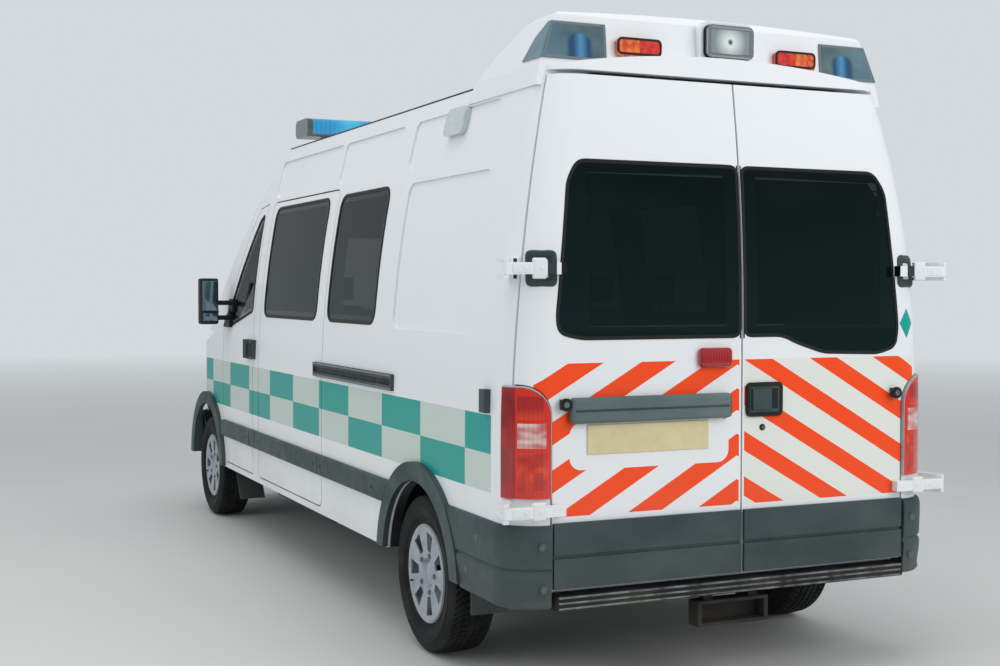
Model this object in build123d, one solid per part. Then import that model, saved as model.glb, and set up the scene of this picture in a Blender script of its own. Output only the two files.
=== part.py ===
from build123d import *
import math
import os

# Patient transport van: a long high-roof front-wheel-drive panel van.
# Millimetres, +X forward, +Y to the left, +Z up, origin on the ground at the middle.

# Overall body
LENGTH = 5899.0
HALF_WIDTH = 985.0
HINGE_REACH = 35.5
REAR_FACE_X = -LENGTH / 2 + HINGE_REACH
NOSE_X = LENGTH / 2
SILL_Z = 390.0
SIDE_STRAIGHT_Z = 1000.0
SIDE_R = 5450.0
GUTTER_Z = 2430.0
ROOF_RISE = 75.0
REAR_STRAIGHT_Z = 1400.0
REAR_R = 6141.0
CORNER_R = 150.0
WALL = 60.0
DOOR_T = 45.0
SHUT_GAP = 8.0
SEAL_GAP = 0.3
RUN_GAP = 0.08
LIP_LAP = 18.0
GLASS_T = 5.0

# Windscreen, roof cap, bonnet and nose
SCREEN_BASE_X = 2292.0
SCREEN_BASE_Z = 1370.0
SCREEN_TOP_Z = 2085.0
SCREEN_RAKE = 38.7
CAP_RAKE = 31.7
SCREEN_BOW_R = 2300.0
SCREEN_CORNER_R = 220.0
BONNET_BACK_X = 1900.0
SHOULDER_Z = 1380.0
BONNET_CROWN = 60.0
SHOULDER_R = 150.0
BONNET_FALL = 0.32
BONNET_T = 22.0
NOSE_BOW_R = 1500.0
NOSE_CORNER_R = 760.0
BUMPER_CORNER_R = 560.0
BUMPER_PROUD = 45.0
BUMPER_TOP_Z = 700.0
BUMPER_LOW_Z = 235.0
NOSE_T = 40.0

# Running gear
WHEELBASE = 4078.0
FRONT_AXLE_X = 2125.0
REAR_AXLE_X = FRONT_AXLE_X - WHEELBASE
TYRE_R = 343.0
TYRE_W = 222.0
RIM_R = 214.0
RIM_W = 178.0
FRONT_TRACK = 1740.0
REAR_TRACK = 1725.0
ARCH_R = 410.0
ARCH_TRIM_R = 488.0
ARCH_LIFT_FRONT = 30.0
ARCH_LIFT_REAR = 0.0
KINGPIN_INSET = 22.0
TRIM_PROUD = 26.0

# Openings in the sides, as distances along X and heights
CAB_DOOR_REAR_X = 920.0
CAB_DOOR_FRONT_X = 1700.0
DOOR_LOW_Z = 432.0
DOOR_TOP_Z = 2098.0
SLIDE_REAR_X = -520.0
SLIDE_FRONT_X = 772.0
WINDOW_LOW_Z = 1415.0
WINDOW_TOP_Z = 2060.0
WINDOW_R = 55.0
RECESS = 10.0
STRIP_LOW_Z = 600.0
STRIP_TOP_Z = 705.0
FLOOR_Z = 560.0
FLOOR_T = 40.0

# Rear doors
REAR_DOOR_TOP_Z = 2400.0
REAR_DOOR_LOW_Z = 446.0
HINGE_OUT = 40.0
HINGE_BACK = 25.0
HINGE_R = 10.0
PIN_R = 5.0
CLADDING_PROUD = 15.0


def drawn(plane, start, *steps):
    """A face on a plane: each step is a point, or a middle point and an end point of an arc."""
    edges = []
    here = start
    for step in steps:
        if isinstance(step[0], tuple):
            edges.append(ThreePointArc(here, step[0], step[1]))
            here = step[1]
        else:
            edges.append(Line(here, step))
            here = step
    if math.dist(here, start) > 0.001:
        edges.append(Line(here, start))
    return plane * make_face(edges)


def across(x):
    """The cross plane at x: drawn points are (y, z)."""
    return Plane(origin=(x, 0, 0), x_dir=(0, 1, 0), z_dir=(1, 0, 0))


def along(y=0.0):
    """The lengthwise plane at y: drawn points are (x, z)."""
    return Plane(origin=(0, y, 0), x_dir=(1, 0, 0), z_dir=(0, -1, 0))


def level(z):
    """The level plane at z: drawn points are (x, y)."""
    return Plane(origin=(0, 0, z), x_dir=(1, 0, 0), z_dir=(0, 0, 1))


def block(x0, x1, y0, y1, z0, z1):
    return Pos((x0 + x1) / 2, (y0 + y1) / 2, (z0 + z1) / 2) * Box(abs(x1 - x0), abs(y1 - y0), abs(z1 - z0))


def side_half_width(z, inset=0.0):
    """Half width of the body at height z: upright, then an arc that leans in."""
    rise = max(0.0, z - SIDE_STRAIGHT_Z)
    return HALF_WIDTH - inset - (SIDE_R - math.sqrt(SIDE_R ** 2 - rise ** 2))


def rear_x(z, inset=0.0):
    """The rear face at height z: upright, then an arc that leans forward."""
    rise = max(0.0, z - REAR_STRAIGHT_Z)
    return REAR_FACE_X + inset + REAR_R - math.sqrt(REAR_R ** 2 - rise ** 2)


def bow(plane, front_x, front_r, corner_r, half, back_x):
    """A plan outline: a front arc, tangent corner arcs and straight sides."""
    corner_x = front_x - front_r + math.sqrt((front_r - corner_r) ** 2 - (half - corner_r) ** 2)
    turn = math.asin((half - corner_r) / (front_r - corner_r))
    join = (front_x - front_r + front_r * math.cos(turn), front_r * math.sin(turn))
    half_turn = (turn + math.pi / 2) / 2
    middle = (corner_x + corner_r * math.cos(half_turn), half - corner_r + corner_r * math.sin(half_turn))
    return drawn(
        plane, (back_x, half), (corner_x, half), (middle, join), ((front_x, 0), (join[0], -join[1])),
        ((middle[0], -middle[1]), (corner_x, -half)), (back_x, -half),
    )


def rounded(x0, x1, z0, z1, radius, grow=0.0):
    """A rounded upright rectangle as a face in the lengthwise plane."""
    face = along() * Pos((x0 + x1) / 2, (z0 + z1) / 2) * RectangleRounded(
        x1 - x0 + 2 * grow, z1 - z0 + 2 * grow, radius + grow)
    return face


def through(face, side=0):
    """Carry a lengthwise outline through the left side (1), the right side (-1) or both (0)."""
    reach = HALF_WIDTH + 400
    if side == 0:
        return extrude(face, amount=reach, dir=(0, 1, 0)) + extrude(face, amount=reach, dir=(0, -1, 0))
    return extrude(face, amount=reach, dir=(0, side, 0))


def body_section(inset, low_z):
    """The cross section of the body: straight sides, leaning arcs and a crowned roof."""
    half = HALF_WIDTH - inset
    gutter = GUTTER_Z - inset * 0.7
    middle_z = (SIDE_STRAIGHT_Z + gutter) / 2
    edge = side_half_width(gutter, inset)
    middle = side_half_width(middle_z, inset)
    return drawn(
        across(REAR_FACE_X - 50), (half, low_z), (half, SIDE_STRAIGHT_Z), ((middle, middle_z), (edge, gutter)),
        ((0, gutter + ROOF_RISE), (-edge, gutter)), ((-middle, middle_z), (-half, SIDE_STRAIGHT_Z)),
        (-half, low_z),
    )


def raked(front_x, foot_z, rake, inset, low_z, high_z):
    """The bowed front of the cab: the plan outline carried along the slope of the glass."""
    slip = 1 / math.tan(math.radians(rake))
    shift = inset / math.sin(math.radians(rake))
    start_x = front_x + (foot_z - low_z) * slip - shift
    face = bow(level(low_z), start_x, SCREEN_BOW_R, SCREEN_CORNER_R, HALF_WIDTH + 15, REAR_FACE_X - 3000)
    rise = high_z - low_z
    return extrude(face, amount=rise * math.hypot(1, slip), dir=(-slip, 0, 1))


envelopes = {}


def envelope(inset):
    """The whole upper body from the rear doors to the windscreen, shrunk by an inset."""
    if inset not in envelopes:
        low_z = SILL_Z - (40 if inset > 0 else 0)
        shape = extrude(body_section(inset, low_z), amount=5400, dir=(1, 0, 0))
        rear = REAR_FACE_X + inset
        top_z = GUTTER_Z + ROOF_RISE + 60
        middle_z = (REAR_STRAIGHT_Z + top_z) / 2
        profile = drawn(
            along(), (3000, low_z - 10), (rear, low_z - 10), (rear, REAR_STRAIGHT_Z),
            ((rear_x(middle_z, inset), middle_z), (rear_x(top_z, inset), top_z)), (3000, top_z),
        )
        shape = shape & through(profile)
        header_x = SCREEN_BASE_X - (SCREEN_TOP_Z - SCREEN_BASE_Z) / math.tan(math.radians(SCREEN_RAKE))
        shape = shape & raked(SCREEN_BASE_X, SCREEN_BASE_Z, SCREEN_RAKE, inset, low_z - 20, top_z + 200)
        shape = shape & raked(header_x, SCREEN_TOP_Z, CAP_RAKE, inset, low_z - 20, top_z + 200)
        corners = []
        for edge in shape.edges():
            middle = edge.center()
            box = edge.bounding_box()
            if middle.X < REAR_FACE_X + inset + 130 and abs(middle.Y) > 600 and box.size.Z > 200:
                corners.append(edge)
        shape = fillet(corners, CORNER_R - inset)
        envelopes[inset] = shape
    return envelopes[inset]


def layer(tool, outer, inner):
    """The part of a tool that lies between two insets of the body."""
    shape = tool & envelope(outer)
    return shape - envelope(inner)


def solids_of(shape):
    return [one for one in shape.solids() if one.volume > 500]


def mirrored(shape):
    return mirror(shape, about=Plane.XZ)


pieces = {}


def keep(node, *shapes):
    """Store the solids of one named piece."""
    found = pieces.setdefault(node, [])
    for shape in shapes:
        found.extend(solids_of(shape))


def rebate(opening, side, lap=LIP_LAP):
    """What a door opening takes out of a wall: the door's depth with its gap, and a narrower way through."""
    outer = through(offset(opening, SHUT_GAP, kind=Kind.INTERSECTION), side)
    inner = through(offset(opening, -lap, kind=Kind.INTERSECTION), side)
    return (outer - envelope(DOOR_T + SEAL_GAP)) + inner


# Outlines in the lengthwise plane
windscreen_slip = 1 / math.tan(math.radians(SCREEN_RAKE))
header_x = SCREEN_BASE_X - (SCREEN_TOP_Z - SCREEN_BASE_Z) * windscreen_slip
cab_door_points = [
    (CAB_DOOR_REAR_X, DOOR_LOW_Z), (CAB_DOOR_FRONT_X - 90, DOOR_LOW_Z), (CAB_DOOR_FRONT_X, 625),
    (CAB_DOOR_FRONT_X, 1290), (1420, 1700), (1235, 1935), (1085, 2075), (CAB_DOOR_REAR_X, DOOR_TOP_Z),
]
cab_door_outline = along() * make_face(Polyline(*cab_door_points, close=True))
cab_window_points = [
    (965, 1440), (1500, 1338), (1590, 1392), (1348, 1676), (1165, 1880), (1045, 2005), (965, 2040),
]
cab_window_outline = along() * make_face(Polyline(*cab_window_points, close=True))
cab_window_outline = fillet(cab_window_outline.vertices(), 28)
slide_outline = rounded(SLIDE_REAR_X, SLIDE_FRONT_X, DOOR_LOW_Z, DOOR_TOP_Z, 45)
front_arch = along() * Pos(FRONT_AXLE_X, TYRE_R + ARCH_LIFT_FRONT) * Circle(ARCH_R)
rear_arch = along() * Pos(REAR_AXLE_X, TYRE_R + ARCH_LIFT_REAR) * Circle(ARCH_R)

# Windows and stamped panels of the load space, by bay: rear and front x, and which sides have them
bays = [
    {"name": "door", "window": (-380, 690), "upper": (-420, 780)},
    {"name": "middle", "window": (-1320, -580), "upper": (-1350, -455)},
    {"name": "rear", "window": None, "upper": (-2450, -1500)},
]
BLANK_PANEL = (-2500, -1570)
UPPER_LOW_Z = 2130.0
UPPER_TOP_Z = 2350.0

# Rear end: the doors wrap round the corners as far as this slab
DOOR_WRAP = 62.0
LAMP_TOP_Z = 1217.0
LAMP_LOW_Z = 796.0
LOW_EDGE_Y = 822.0
LAMP_INNER_Y = 832.0
LAMP_ARCH_R = 112.0
SPLIT_Y = -22.0


def lamp_corner(side, low_z, grow):
    """The rear corner under the tail lamp's arch: upright inner edge, round top corner, open outwards."""
    inner = LAMP_INNER_Y - grow
    radius = LAMP_ARCH_R + grow
    top = LAMP_TOP_Z - 4 + grow
    lean = radius * (1 - math.sqrt(0.5))
    face = drawn(
        across(REAR_FACE_X - 100), (inner, low_z), (inner, top - radius), ((inner + lean, top - lean), (inner + radius, top)),
        (1100, top), (1100, low_z),
    )
    shape = extrude(face, amount=200, dir=(1, 0, 0))
    return shape if side > 0 else mirrored(shape)


def rear_slab(depth):
    """What lies behind the leaning rear face moved forward by a depth."""
    top_z = GUTTER_Z + ROOF_RISE + 60
    middle_z = (REAR_STRAIGHT_Z + top_z) / 2
    face = drawn(
        along(), (REAR_FACE_X - 200, 300), (REAR_FACE_X + depth, 300), (REAR_FACE_X + depth, REAR_STRAIGHT_Z),
        ((rear_x(middle_z, depth), middle_z), (rear_x(top_z, depth), top_z)), (REAR_FACE_X - 200, top_z),
    )
    return through(face)


def glazed(panel, cut, hole):
    """Set a pane in a panel: a shallow seat, a smaller hole, and the pane that fills the seat."""
    seat = cut - envelope(GLASS_T + 1)
    return panel - seat - hole, layer(cut, 1.0, GLASS_T + 1)


# Side panels, with the fixed lower corners that carry the tail lamps
GLASS_LAP = 26.0
CAB_BACK_X = CAB_DOOR_REAR_X - SHUT_GAP - 120
for side, name in ((1, "left"), (-1, "right")):
    wall = block(REAR_FACE_X - 100, CAB_BACK_X, side * 500, side * 1100, SILL_Z, GUTTER_Z - 12)
    panel = layer(wall, 0.0, WALL) - rear_slab(DOOR_WRAP + SHUT_GAP)
    panel = panel + layer(lamp_corner(side, SILL_Z, 2), 0.0, WALL)
    if side > 0:
        panel = panel - rebate(slide_outline, side)
    panel = panel - through(rear_arch, side)
    for bay in bays:
        if bay["window"] and not (side > 0 and bay["name"] == "door"):
            back, front = bay["window"]
            cut = through(rounded(back, front, WINDOW_LOW_Z, WINDOW_TOP_Z, WINDOW_R), side)
            hole = through(rounded(back, front, WINDOW_LOW_Z, WINDOW_TOP_Z, WINDOW_R, -GLASS_LAP), side)
            panel, pane = glazed(panel, cut, hole)
            keep("side_glass", pane)
        back, front = bay["upper"]
        panel = panel - (through(rounded(back, front, UPPER_LOW_Z, UPPER_TOP_Z, 40), side) - envelope(RECESS))
    blank = rounded(*BLANK_PANEL, WINDOW_LOW_Z - 15, WINDOW_TOP_Z, WINDOW_R)
    panel = panel - (through(blank, side) - envelope(RECESS))
    keep(name + "_side_panel", panel)

# Sliding door with its window
slide_back, slide_front = bays[0]["window"]
cut = through(rounded(slide_back, slide_front, WINDOW_LOW_Z, WINDOW_TOP_Z, WINDOW_R), 1)
hole = through(rounded(slide_back, slide_front, WINDOW_LOW_Z, WINDOW_TOP_Z, WINDOW_R, -GLASS_LAP), 1)
slide, pane = glazed(layer(through(slide_outline, 1), 0.0, DOOR_T), cut, hole)
keep("sliding_door", slide)
keep("side_glass", pane)

# Roof with its cap over the cab
CAP_LOW_Z = 2110.0
roof_zone = block(REAR_FACE_X - 100, CAB_BACK_X, -1100, 1100, GUTTER_Z - 12, 2700)
roof_zone = roof_zone + block(CAB_BACK_X, 1700, -1100, 1100, CAP_LOW_Z, 2700)
keep("roof", layer(roof_zone, 0.0, WALL))

# Cab frame: door pillars, header, windscreen pillars and scuttle
WING_BACK_X = CAB_DOOR_FRONT_X + SHUT_GAP
WING_TOP_Z = 1290.0
WING_SPLIT_X = 2250.0
NOSE_BACK_X = 1600.0


def nose(inset):
    """The bonnet and wings: a crowned section carried down and forward, inside a bowed plan."""
    half = HALF_WIDTH + 20 - inset
    start_x = NOSE_BACK_X - 800
    shoulder = SHOULDER_Z - inset + (BONNET_BACK_X - start_x) * BONNET_FALL
    lean = SHOULDER_R * (1 - math.sqrt(0.5))
    rise = SHOULDER_R * math.sqrt(0.5)
    inner = half - SHOULDER_R
    tilted = Plane(origin=(start_x, 0, 0), x_dir=(0, 1, 0), z_dir=(1, 0, -BONNET_FALL))
    upright = math.cos(math.atan(BONNET_FALL))
    shoulder = shoulder * upright
    side_top = shoulder - SHOULDER_R
    face = drawn(
        tilted, (half, -900), (half, side_top), ((half - lean, side_top + rise), (inner, shoulder)),
        ((0, shoulder + BONNET_CROWN), (-inner, shoulder)),
        ((-half + lean, side_top + rise), (-half, side_top)), (-half, -900),
    )
    shape = extrude(face, amount=NOSE_X - start_x + 500)
    plan = bow(
        level(SILL_Z), NOSE_X - BUMPER_PROUD - inset, NOSE_BOW_R, NOSE_CORNER_R, HALF_WIDTH + 2 - inset, NOSE_BACK_X + 1)
    shape = shape & extrude(plan, amount=1300, dir=(0, 0, 1))
    return shape & extrude(body_section(inset, SILL_Z - 20), amount=6000, dir=(1, 0, 0))


nose_skin = nose(0.0)
nose_shell = nose_skin - nose(NOSE_T)
cab_rebates = rebate(cab_door_outline, 1) + rebate(cab_door_outline, -1)
cab_rebate_room = through(offset(cab_door_outline, SHUT_GAP, kind=Kind.INTERSECTION)) - envelope(DOOR_T)
cab_zone = block(CAB_BACK_X, WING_BACK_X, -1100, 1100, SILL_Z, CAP_LOW_Z)
cab_zone = cab_zone + block(WING_BACK_X, 2500, -1100, 1100, WING_TOP_Z, CAP_LOW_Z)
screen_top_half = 720.0
screen_low_half = 815.0
screen_face = drawn(
    across(CAB_DOOR_REAR_X + 100), (screen_low_half, 1352), (screen_top_half, 2035),
    ((0, 2050), (-screen_top_half, 2035)), (-screen_low_half, 1352),
)
screen_face = fillet(screen_face.vertices(), 50)
screen_cut = extrude(screen_face, amount=2000, dir=(1, 0, 0))
screen_hole = extrude(offset(screen_face, -GLASS_LAP), amount=2000, dir=(1, 0, 0))
frame = layer(cab_zone, 0.0, WALL) - cab_rebates
frame = frame - (nose_skin & block(WING_SPLIT_X, 2900, -1100, 1100, 0, 1500))
frame, pane = glazed(frame, screen_cut, screen_hole)
keep("windscreen", pane)
post_zone = block(CAB_DOOR_FRONT_X - LIP_LAP, CAB_DOOR_FRONT_X + 90, -1100, 1100, SILL_Z, WING_TOP_Z)
front_arch_room = through(along() * Pos(FRONT_AXLE_X, TYRE_R + ARCH_LIFT_FRONT) * Circle(ARCH_R + 4))
posts = layer(post_zone, DOOR_T + SEAL_GAP, WALL + 70) - front_arch_room
keep("cab_frame", *(frame.solids()), *(posts.solids()))

# Bonnet, wings, nose panel and lamps
bonnet_face = level(900) * make_face(Polyline((2150, 705), (2775, 585), (2775, -585), (2150, -705), close=True))
bonnet_zone = extrude(bonnet_face, amount=600, dir=(0, 0, 1))
bonnet_room = extrude(offset(bonnet_face, 14, kind=Kind.INTERSECTION), amount=600, dir=(0, 0, 1))
bonnet = ((nose_skin - nose(BONNET_T)) & bonnet_zone) - envelope(-SHUT_GAP)
keep("bonnet", bonnet)

lamp_points = [(500, 800), (700, 765), (905, 835), (905, 1000), (770, 1045), (520, 950)]
lamp_face = across(2300) * make_face(Polyline(*lamp_points, close=True))
lamp_face = fillet(lamp_face.vertices(), 25)
lamp_left = extrude(lamp_face, amount=700, dir=(1, 0, 0))
lamp_zone = lamp_left + mirrored(lamp_left)
lamps = ((nose_skin - nose(NOSE_T + 20)) & lamp_zone) - bonnet_room
keep("headlamps", lamps)

GRILLE_HALF = 440.0
GRILLE_LOW_Z = 775.0
GRILLE_TOP_Z = 925.0
panel_half = 480.0
front_trim = BUMPER_TOP_Z + 5
shell_front = (nose_shell & block(WING_SPLIT_X, NOSE_X, -1100, 1100, front_trim, 1500)) - bonnet_room - lamp_zone
shell_front = shell_front - envelope(0.0)
nose_panel = shell_front & block(2600, NOSE_X, -panel_half, panel_half, front_trim, 1500)
grille_face = across(2600) * Pos(0, (GRILLE_LOW_Z + GRILLE_TOP_Z) / 2) * RectangleRounded(
    2 * GRILLE_HALF, GRILLE_TOP_Z - GRILLE_LOW_Z, 40)
grille_zone = extrude(grille_face, amount=400, dir=(1, 0, 0))
nose_panel = nose_panel - grille_zone
keep("nose_panel", nose_panel)
slats = grille_zone - extrude(offset(grille_face, -16), amount=400, dir=(1, 0, 0))
slat_count = 4
for index in range(slat_count):
    slat_z = GRILLE_LOW_Z + (GRILLE_TOP_Z - GRILLE_LOW_Z) * (index + 1) / (slat_count + 1)
    slats = slats + block(2600, 3000, -GRILLE_HALF + 8, GRILLE_HALF - 8, slat_z - 6, slat_z + 6)
slats = slats + block(2600, 3000, -8, 8, GRILLE_LOW_Z + 8, GRILLE_TOP_Z - 8)
keep("grille", (nose(6.0) - nose(NOSE_T - 6)) & slats)

wing_front = shell_front - block(2600, NOSE_X, -panel_half, panel_half, front_trim, 1500)
wing_side_zone = block(WING_BACK_X, WING_SPLIT_X, 700, 1100, DOOR_LOW_Z, WING_TOP_Z)
wing_side_zone = wing_side_zone + mirrored(wing_side_zone)
wing_side = (nose_shell & wing_side_zone) - envelope(DOOR_T)
wings = (wing_front + wing_side) - front_arch_room
keep("front_wings", wings)

# Front bumper with its intake
bumper_plan = bow(level(BUMPER_LOW_Z), NOSE_X, NOSE_BOW_R, BUMPER_CORNER_R, HALF_WIDTH, FRONT_AXLE_X)
bumper_core = bow(
    level(BUMPER_LOW_Z), NOSE_X - NOSE_T, NOSE_BOW_R, BUMPER_CORNER_R, HALF_WIDTH - NOSE_T, FRONT_AXLE_X - 1)
bumper = extrude(bumper_plan, amount=BUMPER_TOP_Z - BUMPER_LOW_Z, dir=(0, 0, 1))
bumper = bumper - extrude(bumper_core, amount=BUMPER_TOP_Z - BUMPER_LOW_Z, dir=(0, 0, 1))
front_trim_room = through(along() * Pos(FRONT_AXLE_X, TYRE_R + ARCH_LIFT_FRONT) * Circle(ARCH_TRIM_R + 1))
bumper = bumper - front_trim_room
intake = across(2700) * Pos(0, 430) * RectangleRounded(1000, 130, 40)
bumper = bumper - extrude(intake, amount=400, dir=(1, 0, 0))
keep("front_bumper", bumper)

# Cab doors: door, pane, and the dark fittings that ride on it (mirror, handle, rub strip)
MIRROR_REACH = 1180.0
HANDLE_FRONT_X = 1050.0
HANDLE_LOW_Z = 1145.0
HANDLE_TOP_Z = 1262.0
cab_window_hole = offset(cab_window_outline, -GLASS_LAP)
edge_relief = block(CAB_DOOR_REAR_X - 20, CAB_DOOR_REAR_X + 13, -1100, 1100, DOOR_LOW_Z + 100, DOOR_TOP_Z + 30)
STRIP_GAP = 8.0


def strip(x0, x1, side):
    """A rub strip along the side: flat face with chamfered edges."""
    low = STRIP_LOW_Z
    high = STRIP_TOP_Z
    out = HALF_WIDTH + TRIM_PROUD
    face = make_face(Polyline(
        (HALF_WIDTH, low), (out - 8, low), (out, low + 8), (out, high - 8), (out - 8, high), (HALF_WIDTH, high),
        close=True))
    shape = extrude(across(x0) * face, amount=x1 - x0)
    return shape if side > 0 else mirrored(shape)


for side, name in ((1, "left"), (-1, "right")):
    door = layer(through(cab_door_outline, side), 0.0, DOOR_T)
    door = door - (edge_relief & envelope(12.0))
    door, pane = glazed(door, through(cab_window_outline, side), through(cab_window_hole, side))
    keep(name + "_cab_door", door)
    keep(name + "_cab_glass", pane)
    out = HALF_WIDTH + TRIM_PROUD
    rub = strip(CAB_DOOR_REAR_X + STRIP_GAP / 2, CAB_DOOR_FRONT_X - 40, side)
    rub = rub - through(along() * Pos(FRONT_AXLE_X, TYRE_R + ARCH_LIFT_FRONT) * Circle(ARCH_TRIM_R + 16), side)
    base = [(1470, 1325), (1640, 1325), (1590, 1395), (1500, 1440)]
    shoe = layer(through(along() * make_face(Polyline(*base, close=True)), side), -22.0, 0.0)
    arm_low = block(1525, 1565, side * 960, side * 1085, 1372, 1402)
    arm_high = block(1500, 1540, side * 962, side * 1085, 1470, 1500)
    head_face = level(1345) * Pos(1540, side * (MIRROR_REACH - 62)) * RectangleRounded(120, 124, 45)
    head = extrude(head_face, amount=300, dir=(0, 0, 1))
    head = fillet(head.edges().group_by(Axis.Z)[0] + head.edges().group_by(Axis.Z)[-1], 14)
    pillar_pad = layer(block(1440, 1560, side * 900, side * 1000, 1425, 1510), -16.0, 0.0)
    mirror_set = shoe + ((arm_low + arm_high) - envelope(0.0)) + head + pillar_pad
    handle = block(CAB_DOOR_REAR_X + 10, HANDLE_FRONT_X, side * 980, side * 1012, HANDLE_LOW_Z, HANDLE_TOP_Z) - envelope(0.0)
    grip_cut = block(
        CAB_DOOR_REAR_X + 24, HANDLE_FRONT_X - 14, side * 980, side * 1002, HANDLE_LOW_Z + 16, HANDLE_TOP_Z - 16)
    keep(name + "_door_fittings", rub, mirror_set, handle - grip_cut)

# Rear frame inside the doors
FRAME_DEPTH = 112.0
frame_ring = (rear_slab(FRAME_DEPTH) & envelope(WALL)) - rear_slab(DOOR_T + SEAL_GAP)
way_in = drawn(
    across(REAR_FACE_X - 50), (800, FLOOR_Z), (800, 1400), (700, 2330), (-700, 2330), (-800, 1400), (-800, FLOOR_Z))
frame_ring = frame_ring - extrude(way_in, amount=400, dir=(1, 0, 0))
frame_zone = block(REAR_FACE_X, REAR_FACE_X + 400, -1000, 1000, REAR_DOOR_LOW_Z - 20, GUTTER_Z - 50)
keep("rear_frame", frame_ring & frame_zone)

# Rear doors with their 270 degree hinges
hinge_x = REAR_FACE_X - HINGE_BACK
hinge_y = HALF_WIDTH + HINGE_OUT
hinge_heights = (752.0, 1656.0)
door_spans = {"left": (SPLIT_Y + SHUT_GAP / 2, 1000.0), "right": (-1000.0, SPLIT_Y - SHUT_GAP / 2)}
rear_windows = {
    "left": [(-10, 1394), (-10, 2066), (700, 2066), (745, 1990), (802, 1470), (790, 1414), (700, 1394)],
    "right": [(-34, 1394), (-34, 2066), (-690, 2066), (-745, 1990), (-802, 1420), (-790, 1340), (-700, 1314),
              (-420, 1322), (-290, 1362), (-215, 1394)],
}
for side, name in ((1, "left"), (-1, "right")):
    low_y, high_y = door_spans[name]
    zone = block(REAR_FACE_X - 200, REAR_FACE_X + 400, low_y, high_y, REAR_DOOR_LOW_Z, REAR_DOOR_TOP_Z)
    zone = zone - lamp_corner(side, 300, 2 + SHUT_GAP)
    door = layer(zone & rear_slab(DOOR_WRAP), 0.0, DOOR_T)
    pane_face = across(REAR_FACE_X - 50) * make_face(Polyline(*rear_windows[name], close=True))
    pane_face = fillet(pane_face.vertices(), 24)
    cut = extrude(pane_face, amount=300, dir=(1, 0, 0))
    hole = extrude(offset(pane_face, -45), amount=300, dir=(1, 0, 0))
    door, pane = glazed(door, cut, hole)
    arms = []
    for height in hinge_heights:
        arm = block(hinge_x - HINGE_R, hinge_x + 4, side * 800, side * hinge_y, height - 22, height + 22)
        arm = arm + block(hinge_x - HINGE_R, REAR_FACE_X + 20, side * 780, side * 818, height - 22, height + 22)
        barrel = Pos(hinge_x, side * hinge_y, height) * Cylinder(HINGE_R, 44)
        hole = Pos(hinge_x, side * hinge_y, height) * Cylinder(PIN_R + RUN_GAP, 80)
        arms.append((arm + barrel) - hole - envelope(0.0))
        ear = level(height + 23) * make_face(Polyline(
            (hinge_x - 10, side * (hinge_y - 8)), (hinge_x - 4, side * (hinge_y + 10)),
            (hinge_x + 8, side * (hinge_y + 9)), (hinge_x + 145, side * (HALF_WIDTH + 12)),
            (hinge_x + 145, side * (HALF_WIDTH - 60)), (hinge_x + 98, side * (HALF_WIDTH - 60)),
            (hinge_x + 84, side * (HALF_WIDTH - 18)), close=True))
        for low in (height + 23, height - 38):
            plate = extrude(Pos(0, 0, low - height - 23) * ear, amount=15, dir=(0, 0, 1))
            pieces[name + "_side_panel"][0] += plate - envelope(0.0)
        pieces[name + "_side_panel"][0] += Pos(hinge_x, side * hinge_y, height) * Cylinder(PIN_R, 76)
    for arm in arms:
        door = door + arm
    keep(name + "_rear_door", door)
    keep(name + "_rear_glass", pane)
    inner_y = SPLIT_Y + side * (SHUT_GAP / 2 + 3)
    clad = block(REAR_FACE_X - 100, REAR_FACE_X + 10, inner_y, side * (LOW_EDGE_Y - 2), REAR_DOOR_LOW_Z + 5, 700)
    groove = block(REAR_FACE_X - 100, REAR_FACE_X - 6, inner_y, side * LOW_EDGE_Y, 566, 580)
    clad = layer(clad, -CLADDING_PROUD, 0.0) - groove
    buffer = block(REAR_FACE_X - 33, REAR_FACE_X, side * 764, side * 792, 1128, 1166)
    if side > 0:
        bar = block(REAR_FACE_X - 34, REAR_FACE_X, 48, 735, 1076, 1168)
        bar = fillet(bar.edges().filter_by(Axis.Y).sort_by(Axis.X)[:2], 14)
        stop = block(REAR_FACE_X - 22, REAR_FACE_X, 44, 180, 1281, 1342)
        keep("left_rear_fittings", clad, bar, buffer, stop)
    else:
        pull = block(REAR_FACE_X - 9, REAR_FACE_X, -209, -44, 1075, 1202)
        pull = pull - block(REAR_FACE_X - 9, REAR_FACE_X - 3, -190, -60, 1100, 1182)
        keep("right_rear_fittings", clad, buffer, pull)

# Tail lamps on the fixed corners
lamp_tool = lamp_corner(1, LAMP_LOW_Z, 0) + lamp_corner(-1, LAMP_LOW_Z, 0)
keep("tail_lamps", layer(lamp_tool, -12.0, 0.0))

# Rear bumper corners, step and the folding step under it
REAR_BUMPER_LOW_Z = 378.0
REAR_BUMPER_TOP_Z = 694.0
bumper_tool = block(REAR_FACE_X - 100, -2270, LOW_EDGE_Y + 8, 1100, REAR_BUMPER_LOW_Z, REAR_BUMPER_TOP_Z)
rear_trim_room = along() * Pos(REAR_AXLE_X, TYRE_R + ARCH_LIFT_REAR) * Circle(ARCH_TRIM_R + 2)
bumper_tool = bumper_tool - through(rear_trim_room, 1)
bumper_groove = block(REAR_FACE_X - 100, -2270, LOW_EDGE_Y, 1100, 518, 532) - envelope(-14.0)
bumper_tool = bumper_tool - bumper_groove
bumper_tool = bumper_tool + mirrored(bumper_tool)
keep("rear_bumper", layer(bumper_tool, -22.0, 0.0))
step = block(REAR_FACE_X - 30, REAR_FACE_X + 70, -815, 815, 372, 424)
step = fillet(step.edges().filter_by(Axis.Y).sort_by(Axis.X)[:2], 10)
for y in (-470, 470):
    step = step + block(REAR_FACE_X + 10, REAR_FACE_X + FRAME_DEPTH, y - 30, y + 30, 384, 420)
hanging = block(REAR_FACE_X - 20, REAR_FACE_X + 50, -140, 190, 250, 350)
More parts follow.
